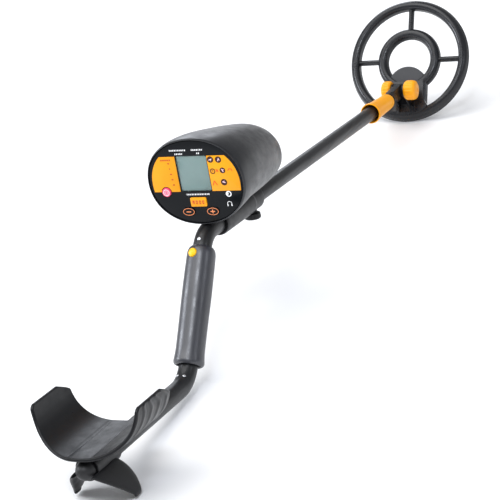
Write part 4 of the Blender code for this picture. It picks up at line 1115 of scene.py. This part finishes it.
class DETECTOR_OT_stand(bpy.types.Operator):
    """Build the clamp block and the two blade legs of the stand"""

    bl_idname = "detector.stand"
    bl_label = "Stand"

    def execute(self, context):
        prof = rounded([(-0.905, ROD_BORE), (-0.905, 0.0152), (-0.964, 0.0152),
            (-0.964, ROD_BORE)], 0.0007, 5)
        block = moved(lathe(prof, 96, "X"), 0.0, 0.0, ROD_DROP)
        pad = slab(box_outline(0.057, 0.04, 0.004), -0.1534, -0.1503, 0.0006)
        cuts = [plus(moved(pad, -0.9335, 0.0, 0.0)), plus(self.leg(-1.0)), plus(self.leg(1.0)),
            bored(-0.87, -0.995, ROD_BORE, "X", 96, z=ROD_DROP)]
        piece("forked_stand", block, SHAFT, "black", "handle", ("stand",), crisp=40.0,
            cuts=cuts + screw_holes(-0.16, -0.14))
        return {"FINISHED"}

    def leg(self, side):
        """Blade that narrows from the block to the foot while it swings outwards.

        At depth t the half length is 8.5 + 22.5 (1 - t^1.6) millimetres, the middle
        moves out by 27.5 t^0.8 and forward by 23.5 (1 - (1 - t)^1.6).
        """
        t = np.linspace(0.0, 1.0, 44)
        half = 0.0085 + 0.0225 * (1.0 - t ** 1.6)
        thick = 0.0026 - 0.0006 * t
        y = side * (0.0125 + 0.0275 * t ** 0.8)
        z = -0.17 - 0.039 * t
        x = -(0.9265 + 0.0235 * (1.0 - t) ** 1.6)
        drop = np.array([0.0008, 0.0018, 0.0032, 0.004])
        shrink = np.array([0.98, 0.93, 0.82, 0.7])
        half = np.concatenate([half, half[-1] * shrink])
        thick = np.concatenate([thick, thick[-1] * np.array([0.97, 0.9, 0.76, 0.58])])
        y = np.concatenate([y, np.full(4, y[-1])])
        z = np.concatenate([z, z[-1] - drop])
        x = np.concatenate([x, np.full(4, x[-1])])
        a = np.arange(48) * TAU / 48
        p = signed_power(np.cos(a), 0.45)[None] * half[:, None]
        q = signed_power(np.sin(a), 0.8)[None] * thick[:, None]
        lean = np.concatenate([np.full(44, 0.5), (0.4, 0.25, 0.1, 0.0)])[:, None]
        rings = np.stack([x[:, None] + p, y[:, None] + side * q * 0.86, z[:, None] + q * lean],
            -1)
        return skin(rings)


# ---- control box --------------------------------------------------------
# distance down the shaft, half width, top and bottom of each oval of the hood
HOOD = np.array([
    (0.5813, 0.0681, 0.1283, 0.0116),
    (0.577, 0.0694, 0.1292, 0.0122),
    (0.56, 0.07, 0.1298, 0.0146),
    (0.53, 0.0687, 0.1272, 0.019),
    (0.484, 0.0632, 0.1202, 0.0192),
    (0.444, 0.0568, 0.1132, 0.0194),
    (0.41, 0.0486, 0.1055, 0.02),
    (0.386, 0.0388, 0.0924, 0.022),
    (0.369, 0.0258, 0.078, 0.027),
    (0.3612, 0.0122, 0.0642, 0.036),
])


def oval(count):
    """Unit oval: cos and sin each raised to 2 / 2.12, keeping their signs."""
    a = np.arange(count) * TAU / count
    power = 2.0 / 2.12
    return signed_power(np.cos(a), power), signed_power(np.sin(a), power)


def hood_rings(rows, inset, count=128):
    """Ovals of the hood, each leaning with its height, pulled in by the inset."""
    rows = np.asarray(rows, float)
    inset = np.broadcast_to(np.asarray(inset, float), (len(rows),))
    c, s = oval(count)
    mid = 0.5 * (rows[:, 2] + rows[:, 3])
    high = 0.5 * (rows[:, 2] - rows[:, 3]) - inset
    wide = rows[:, 1] - inset
    y = wide[:, None] * c[None]
    z = mid[:, None] + high[:, None] * s[None]
    x = -(rows[:, :1] + BOX_LEAN * (z - BOX_MID))
    return np.stack([x, y, z], -1)


class DETECTOR_OT_hood(bpy.types.Operator):
    """Build the hood of the control box and its battery door"""

    bl_idname = "detector.hood"
    bl_label = "Box hood"

    def execute(self, context):
        rows = smooth_rows(HOOD, 64)
        outer = hood_rings(rows, 0.0)
        inner_rows = rows[:-6]
        wall = 0.0013 + 0.0013 * np.clip((0.577 - inner_rows[:, 0]) / 0.017, 0.0, 1.0)
        inner = hood_rings(inner_rows, wall)
        nose = rows[-1:].repeat(3, axis=0)
        nose[:, 0] -= (0.001, 0.0016, 0.0019)
        front = hood_rings(nose, (0.003, 0.007, 0.0105))
        lip_rows = rows[:1].repeat(3, axis=0)
        lip_rows[:, 0] += (0.0006, 0.0009, 0.0006)
        lip = hood_rings(lip_rows, (0.0002, 0.0007, 0.0012))
        rings = np.concatenate([front[::-1], outer[::-1], lip, inner])
        hood = skin(rings)
        door_cut = self.door_block(0.0)
        cuts = [less(door_cut), bored(0.04, 0.08, 0.0042, "Y", 32, -0.548, 0.0, 0.06)]
        cuts += [bored(0.015, 0.03, 0.0017, x=x) for x in BOX_SCREWS]
        piece("box_cover", hood, SHAFT, "hood", "handle", ("box_hood",), crisp=40.0, cuts=cuts)
        door_rows = rows[4:58]
        door = skin(hood_rings(door_rows, 0.0))
        core = skin(hood_rings(np.concatenate([door_rows[:1] + (0.004, 0, 0, 0), door_rows,
            door_rows[-1:] - (0.004, 0, 0, 0)]), 0.0024))
        piece("battery_hatch", door, SHAFT, "hood", "battery_door", ("battery_door",),
            crisp=40.0, cuts=[("INTERSECT", self.door_block(0.0008)), less(core)])
        for node, finish in (("speaker", "steel"), ("main_board", "board"),
                             ("battery_holder", "black"), ("headphone_socket", "steel"),
                             ("box_screw_front", "steel"), ("box_screw_rear", "steel"),
                             ("battery_cell_1", "cell"), ("battery_cell_2", "cell"),
                             ("battery_cell_3", "cell"), ("battery_cell_4", "cell")):
            paint(node, finish)
        return {"FINISHED"}

    def door_block(self, shrink):
        """Block that marks out the door on the box's left side."""
        outline = box_outline(0.07 - shrink, 0.042 - shrink, 0.0055, 6)
        outline = outline + np.array([-0.486, 0.07])
        return thin(outline, 0.03, 0.09, 0.0001, "Y")


# ---- face ---------------------------------------------------------------
FACE_A = 0.0665
FACE_B = 0.0565
FACE_Y = 0.0024
PRINT_THICK = 0.0002
INLAY_LEVEL = -0.00068
PANEL_LEVEL = -0.00078
KEY_LEVEL = 0.00095
# x, y, half width, half height and corner of each key, on the face
BUTTONS = {
    "power_button": (-0.0443, -0.0109, 0.006, 0.006, 0.0059),
    "mode_button": (-0.0008, -0.0252, 0.0114, 0.0062, 0.0018),
    "minus_button": (-0.0172, -0.0383, 0.0086, 0.0054, 0.0053),
    "plus_button": (0.0172, -0.0383, 0.0086, 0.0054, 0.0053),
}


def pill(width, height, corner, x=0.0, y=0.0, steps=9):
    """Rectangle whose corners are circular arcs of the given radius."""
    w, h = width / 2 - corner, height / 2 - corner
    a = np.linspace(0.0, math.pi / 2, steps)
    cx = np.array([w, -w, -w, w])[:, None]
    cy = np.array([h, h, -h, -h])[:, None]
    ang = a[None] + (np.arange(4) * math.pi / 2)[:, None]
    px = cx + corner * np.cos(ang)
    py = cy + corner * np.sin(ang)
    return np.stack([px.ravel() + x, py.ravel() + y], -1)


def label_outline(side):
    """One inlay: straight inner, top and bottom edges, curved outside."""
    ys = np.linspace(-0.0108, 0.038, 40)
    inner = 0.0212 if side > 0 else 0.024
    edge = 0.0625 * (1 - np.abs(ys / 0.0545) ** 2.12) ** (1 / 2.12)
    out = np.stack([side * edge, ys], -1)
    return np.concatenate([[(side * inner, ys[0])], out, [(side * inner, ys[-1])]])


def key_hole(x, y, a, b, corner, gap):
    """Opening round a key, right through the panel."""
    return less(thin(pill(2 * a + gap, 2 * b + gap, corner, x, y), -0.006, 0.002, 0.0001))


class DETECTOR_OT_face(bpy.types.Operator):
    """Build the glossy face panel, the inlays, the display and its window"""

    bl_idname = "detector.face"
    bl_label = "Operator face"

    def execute(self, context):
        c, s = oval(144)
        panel = slab(np.stack([FACE_A * c, FACE_Y + FACE_B * s], -1), -0.004, -0.0008, 0.0006,
            5)
        opening = thin(pill(0.0434, 0.0484, 0.002, -0.0007, 0.0142), -0.006, 0.002, 0.0001)
        cuts = [less(opening)]
        for side in (-1.0, 1.0):
            cuts.append(less(thin(label_outline(side), -0.0014, 0.002, 0.0001)))
        cuts += [key_hole(*key, 0.0006) for key in BUTTONS.values()]
        piece("glossy_panel", panel, FACE, "film", "handle", ("face_panel",), crisp=30.0,
            cuts=cuts)
        for side, word in ((-1.0, "left"), (1.0, "right")):
            outline = label_outline(side)
            middle = outline.mean(axis=0)
            outline = middle + (outline - middle) * 0.995
            cuts = []
            if side < 0:
                x, y, a, b, corner = BUTTONS["power_button"]
                cuts.append(key_hole(x, y, a, b, corner + 0.0009, 0.0024))
            piece("inlay_" + word, slab(outline, -0.0013, -0.0007, 0.0001, 3), FACE, "inlay",
                "handle", ("label_" + word,), crisp=30.0, cuts=cuts)
        lens = slab(pill(0.0428, 0.0478, 0.0018, -0.0007, 0.0142), -0.0016, -0.0007, 0.0002, 4)
        piece("display_pane", lens, FACE, "lens", "handle", ("display_window",), crisp=30.0)
        cell = slab(pill(0.043, 0.048, 0.001, -0.0007, 0.0142), -0.0098, -0.0026, 0.0002, 3)
        piece("display_cell", cell, FACE, "display", "handle", ("display_module",), crisp=30.0)
        paint("button_membrane", "rubber")
        paint("power_switch", "steel")
        return {"FINISHED"}


class DETECTOR_OT_buttons(bpy.types.Operator):
    """Build the four face buttons with their raised signs"""

    bl_idname = "detector.buttons"
    bl_label = "Face buttons"

    def execute(self, context):
        look = {"power_button": "pink", "mode_button": "inlay", "minus_button": "film",
            "plus_button": "film"}
        for name, (x, y, a, b, corner) in BUTTONS.items():
            floor = -0.0066 if name == "power_button" else -0.0078
            outline = pill(2 * a, 2 * b, corner - 0.0001, x, y)
            shape = slab(outline, floor, 0.001, 0.0007, 5)
            word = name.split("_")[0]
            piece(word + "_key", shape, FACE, look[name], name, (name,), crisp=50.0)
        self.signs()
        return {"FINISHED"}

    def signs(self):
        """Thin rings and bars that stand just proud of the keys."""
        x, y, a, b, corner = BUTTONS["power_button"]
        top = KEY_LEVEL
        piece("power_ring", ring_print(0.0034, 0.0046, x, y, top), FACE, "ink_pink",
            "power_button", crisp=30.0)
        a = np.linspace(math.radians(125.0), math.radians(415.0), 15)
        px = x + 0.002 * np.cos(a)
        py = y + 0.002 * np.sin(a)
        marks = line_prints(px, py, top)
        marks.append(bar_print(x, y + 0.0006, x, y + 0.0026, 0.0007, top + 0.00002))
        piece("power_sign", joined(*marks), FACE, "ink_pink", "power_button", crisp=30.0)
        x, y, a, b, corner = BUTTONS["mode_button"]
        bars = [thin(pill(w, 0.0052, 0.0004, x + dx, y), 0.00095, 0.0012)
            for dx, w in ((-0.007, 0.003), (-0.0024, 0.0028), (0.0023, 0.0028),
            (0.0069, 0.0026))]
        holes = [less(thin(pill(w, 0.0024, 0.0003, x + dx, y + dy), 0.0, 0.002)) for dx, dy,
            w in ((-0.007, -0.0016, 0.0012), (-0.0024, 0.0, 0.0012), (0.0023, 0.0, 0.0012),
            (0.0074, 0.0, 0.001))]
        piece("mode_marks", joined(*bars), FACE, "ink_orange", "mode_button", crisp=30.0,
            cuts=holes)
        for name, crossed in (("minus_button", False), ("plus_button", True)):
            x, y, a, b, corner = BUTTONS[name]
            oval_line = circle(1.0, 48)
            outer = oval_line * (a - 0.0004, b - 0.0003) + (x, y)
            inner = oval_line * (a - 0.0012, b - 0.0011) + (x, y)
            parts = [frame_print(outer, inner, 0.00085),
                thin(pill(0.0066, 0.0014, 0.0004, x, y), 0.00085, 0.00115)]
            if crossed:
                parts.append(thin(pill(0.0014, 0.0056, 0.0004, x, y), 0.00087, 0.00117))
            word = name.split("_")[0]
            piece(word + "_sign", joined(*parts), FACE, "ink_pale", name, crisp=30.0)


def frame_print(outer, inner, level, thick=0.00025):
    """Flat band between two equal outlines."""
    rings = np.zeros((4, len(outer), 3))
    rings[0, :, :2] = outer
    rings[1, :, :2] = outer
    rings[2, :, :2] = inner
    rings[3, :, :2] = inner
    rings[:, :, 2] = np.array([level, level + thick, level + thick, level])[:, None]
    return skin(rings, True)


def ring_print(inner, outer, x, y, level):
    """Flat round band."""
    return frame_print(circle(outer, 48, x, y), circle(inner, 48, x, y), level)


def printed(outline, level, thick=PRINT_THICK):
    """Flat mark of a given outline."""
    return thin(outline, level, level + thick, 0.00003)


def pill_print(width, height, corner, x, y, level, thick=PRINT_THICK):
    """Short mark with rounded corners."""
    return printed(pill(width, height, corner, x, y), level, thick)


def bar_print(x0, y0, x1, y1, width, level):
    """Thin straight mark between two points."""
    d = np.array([x1 - x0, y1 - y0])
    n = np.array([-d[1], d[0]]) / np.linalg.norm(d) * width / 2
    p0, p1 = np.array([x0, y0]), np.array([x1, y1])
    return printed(np.stack([p0 - n, p1 - n, p1 + n, p0 + n]), level)


def line_prints(x, y, level):
    """Short bars along a line; every other one is a hair higher, so none coincide."""
    return [bar_print(x[k], y[k], x[k + 1], y[k + 1], 0.0007, level + 0.00001 * (k % 2))
        for k in range(len(x) - 1)]


class DETECTOR_OT_prints(bpy.types.Operator):
    """Build the printed marks on the face: scale ticks, round symbols, small signs"""

    bl_idname = "detector.prints"
    bl_label = "Face prints"

    def execute(self, context):
        self.scale_marks()
        self.round_symbols()
        self.white_signs()
        return {"FINISHED"}

    def scale_marks(self):
        """Rows of short marks on the left inlay."""
        level = INLAY_LEVEL
        ys = np.linspace(0.0285, -0.001, 5)
        parts = [pill_print(0.0022, 0.002, 0.0003, -0.044 + 0.003 * k, 0.0332, level)
            for k in range(5)]
        for k, y in enumerate(ys):
            x = -0.0345 + 0.0006 * k
            wide = 0.0026 - 0.0012 * (k == 1)
            parts.append(pill_print(wide, 0.0018, 0.0003, x, y, level))
        piece("scale_marks", joined(*parts), FACE, "ink_orange", "handle", crisp=30.0)

    def round_symbols(self):
        """Dark discs with a light shape inside, one open ring, and red marks."""
        level = INLAY_LEVEL
        spots = [(0.0262, 0.0326, 0.0044), (0.0374, 0.0322, 0.0044), (0.0408, 0.0173, 0.004),
            (0.04, 0.0012, 0.0044)]
        discs = [printed(circle(r, 40, x, y), level) for x, y, r in spots]
        discs.append(ring_print(0.0025, 0.0037, 0.0268, 0.0166, level))
        discs.append(pill_print(0.0016, 0.0013, 0.0004, 0.0266, 0.017, level))
        piece("symbol_discs", joined(*discs), FACE, "ink_dark", "handle", crisp=30.0)
        top = level + PRINT_THICK
        glyphs = []
        for k, (x, y, r) in enumerate(spots):
            a = math.radians(20.0 + 47.0 * k)
            dx, dy = 0.0022 * math.cos(a), 0.0022 * math.sin(a)
            glyphs.append(bar_print(x - dx, y - dy, x + dx, y + dy, 0.0011, top))
            glyphs.append(bar_print(x + 0.3 * dx, y + 0.3 * dy, x + dy, y - dx, 0.0008,
                top + 0.00001))
        piece("symbol_shapes", joined(*glyphs), FACE, "ink_pink", "handle", crisp=30.0)
        red = [bar_print(0.048, 0.0165, 0.0502, 0.0195, 0.001, level), bar_print(0.0502, 0.0195,
            0.0532, 0.019, 0.001, level + 0.00001), bar_print(0.0532, 0.019, 0.0542, 0.016,
            0.001, level), bar_print(0.024, -0.003, 0.0266, 0.0035, 0.0011, level),
            bar_print(0.0266, 0.0035, 0.03, -0.0028, 0.0011, level + 0.00001),
            bar_print(0.0318, 0.019, 0.0345, 0.0155, 0.0011, level), bar_print(0.0322, 0.016,
            0.0342, 0.0186, 0.0011, level + 0.00001)]
        piece("red_marks", joined(*red), FACE, "ink_red", "handle", crisp=30.0)

    def white_signs(self):
        """A sound ring and a headset sign at the right, fine dashes by the display."""
        level = PANEL_LEVEL
        parts = [ring_print(0.0026, 0.004, 0.0435, -0.015, level), pill_print(0.0024, 0.003,
            0.0006, 0.0422, -0.0146, level)]
        a = np.linspace(math.radians(190.0), math.radians(-10.0), 15)
        x = 0.0424 + 0.003 * np.cos(a)
        y = -0.0285 + 0.003 * np.sin(a)
        parts += line_prints(x, y, level)
        for x in (0.0396, 0.0452):
            parts.append(pill_print(0.0014, 0.003, 0.0006, x, -0.0305, level, 0.00022))
        for x0, y0, n in ((-0.0292, 0.0462, 10), (-0.0222, 0.0412, 5),
                          (0.0022, 0.0462, 7), (0.009, 0.0416, 2),
                          (-0.0158, -0.0148, 14)):
            for k in range(n):
                wide = 0.0012 + 0.0004 * (k % 2)
                x = x0 + 0.0024 * k
                parts.append(pill_print(wide, 0.0021, 0.0004, x, y0, level))
        piece("white_signs", joined(*parts), FACE, "ink_white", "handle", crisp=30.0)


# ---- studio -------------------------------------------------------------
# The camera in the shaft frame. The small roll about the shaft evens out the coil's
# and the handle's lean.
CAMERA_RIGHT = (0.38695, -0.9109, -0.14328)
CAMERA_BACK = (-0.87166, -0.4121, 0.26493)
CAMERA_SPOT = (-2.7537, -1.09, 0.6368)
CAMERA_ROLL = -0.8
FLOOR_HALF = 30.0
FLOOR_GAP = 0.0005
ROOM_COLOUR = (0.97, 0.98, 1.0, 1.0)
SUN_PLACE = (-0.5, 0.7, 2.4)
SUN_SPREAD = 55.0
PANEL_COLOUR = (0.88, 0.92, 1.0)
# name, place, target, size and power of each soft panel
PANELS = (
    ("left_panel", (-0.9, 2.4, 1.2), (0.3, 0.0, 0.2), 0.9, 36.0),
    ("right_panel", (-0.4, -2.4, 1.3), (0.0, 0.0, 0.1), 0.6, 6.0),
    ("rear_panel", (-1.6, -0.5, 1.9), (-0.35, 0.0, 0.05), 0.6, 21.0),
    ("far_panel", (2.0, 1.05, 0.95), (-0.25, 0.0, 0.2), 1.0, 9.0),
)


class DETECTOR_OT_studio(bpy.types.Operator):
    """Lay the pale floor, hang the soft lights and set up the camera"""

    bl_idname = "detector.studio"
    bl_label = "Studio"

    def execute(self, context):
        s = context.scene.detector_studio
        context.scene.view_settings.view_transform = "Standard"
        self.floor()
        self.lights(s)
        self.camera(s)
        return {"FINISHED"}

    def floor(self):
        """Wide flat sheet just under the lowest point."""
        mesh = bpy.data.meshes.new("studio_floor")
        low = CAD_BOX[0][2] - FLOOR_GAP
        corners = [(-1, -1), (1, -1), (1, 1), (-1, 1)]
        mesh.from_pydata([(FLOOR_HALF * x, FLOOR_HALF * y, low) for x, y in corners], [],
            [(0, 1, 2, 3)])
        obj = bpy.data.objects.new("studio_floor", mesh)
        bpy.context.scene.collection.objects.link(obj)
        paper = Surface("floor_paper", (0.93, 0.93, 0.93), 0.75)
        paper.rough(paper.ramp(paper.noise(3.0), 0.7, 0.8))
        mesh.materials.append(paper.mat)

    def lights(self, s):
        """Wide soft light overhead, four soft panels around the object and a dim room."""
        world = bpy.data.worlds.new("studio_room")
        world.use_nodes = True
        back = world.node_tree.nodes["Background"]
        back.inputs["Color"].default_value = ROOM_COLOUR
        back.inputs["Strength"].default_value = s.room
        bpy.context.scene.world = world
        sun = bpy.data.lights.new("overhead_light", "SUN")
        sun.energy = s.key_power
        sun.angle = math.radians(SUN_SPREAD)
        obj = bpy.data.objects.new("overhead_light", sun)
        bpy.context.scene.collection.objects.link(obj)
        self.aim(obj, SUN_PLACE, (0.0, 0.0, 0.0))
        for name, spot, target, size, power in PANELS:
            lamp = bpy.data.lights.new(name, "AREA")
            lamp.shape = "SQUARE"
            lamp.size = size
            lamp.energy = power
            lamp.color = PANEL_COLOUR
            obj = bpy.data.objects.new(name, lamp)
            bpy.context.scene.collection.objects.link(obj)
            self.aim(obj, spot, target)

    def aim(self, obj, spot, target):
        """Stand a light at a spot and turn its -Z to the target."""
        z = np.array(spot) - np.array(target)
        z /= np.linalg.norm(z)
        x = np.cross((0.0, 0.0, 1.0), z)
        x /= np.linalg.norm(x)
        m = columns(x, np.cross(z, x), z, spot)
        obj.matrix_world = Matrix([list(row) for row in m])

    def camera(self, s):
        """Camera behind, above and to the right of the operator's end."""
        cam = bpy.data.cameras.new("studio_camera")
        cam.lens = s.lens
        cam.sensor_width = 36.0
        cam.clip_end = 100.0
        obj = bpy.data.objects.new("studio_camera", cam)
        bpy.context.scene.collection.objects.link(obj)
        x, z = np.array(CAMERA_RIGHT), np.array(CAMERA_BACK)
        x /= np.linalg.norm(x)
        z -= x * np.dot(x, z)
        z /= np.linalg.norm(z)
        m = SHAFT @ turn_x(CAMERA_ROLL) @ columns(x, np.cross(z, x), z, CAMERA_SPOT)
        obj.matrix_world = Matrix([list(row) for row in m])
        bpy.context.scene.camera = obj


# ---- panel and registration ---------------------------------------------
STEPS = (
    "coil_rings", "coil_mount", "pivot_hardware", "yoke", "shaft", "handle_rod", "clamp",
    "grip", "cradle", "stand", "hood", "face", "buttons", "prints", "studio",
)


class DETECTOR_PT_panel(bpy.types.Panel):
    """Sidebar panel that lists every builder"""

    bl_label = "Detector"
    bl_idname = "DETECTOR_PT_panel"
    bl_space_type = "VIEW_3D"
    bl_region_type = "UI"
    bl_category = "Detector"

    def draw(self, context):
        layout = self.layout
        for name in STEPS:
            layout.operator("detector." + name)


CLASSES = (
    DetectorSettings, StudioSettings, DETECTOR_OT_coil_rings, DETECTOR_OT_coil_mount,
    DETECTOR_OT_pivot_hardware, DETECTOR_OT_yoke, DETECTOR_OT_shaft,
    DETECTOR_OT_handle_rod, DETECTOR_OT_clamp, DETECTOR_OT_grip, DETECTOR_OT_cradle,
    DETECTOR_OT_stand, DETECTOR_OT_hood, DETECTOR_OT_face, DETECTOR_OT_buttons,
    DETECTOR_OT_prints, DETECTOR_OT_studio, DETECTOR_PT_panel,
)


def register():
    """Register the classes and hang the settings on the scene."""
    for cls in CLASSES:
        bpy.utils.register_class(cls)
    bpy.types.Scene.detector = PointerProperty(type=DetectorSettings)
    bpy.types.Scene.detector_studio = PointerProperty(type=StudioSettings)


def unregister():
    """Take the settings and classes away again."""
    del bpy.types.Scene.detector_studio
    del bpy.types.Scene.detector
    for cls in reversed(CLASSES):
        bpy.utils.unregister_class(cls)


def main():
    """Build everything in order."""
    register()
    make_finishes(bpy.context.scene.detector)
    for name in STEPS:
        getattr(bpy.ops.detector, name)()


if __name__ == "__main__":
    main()
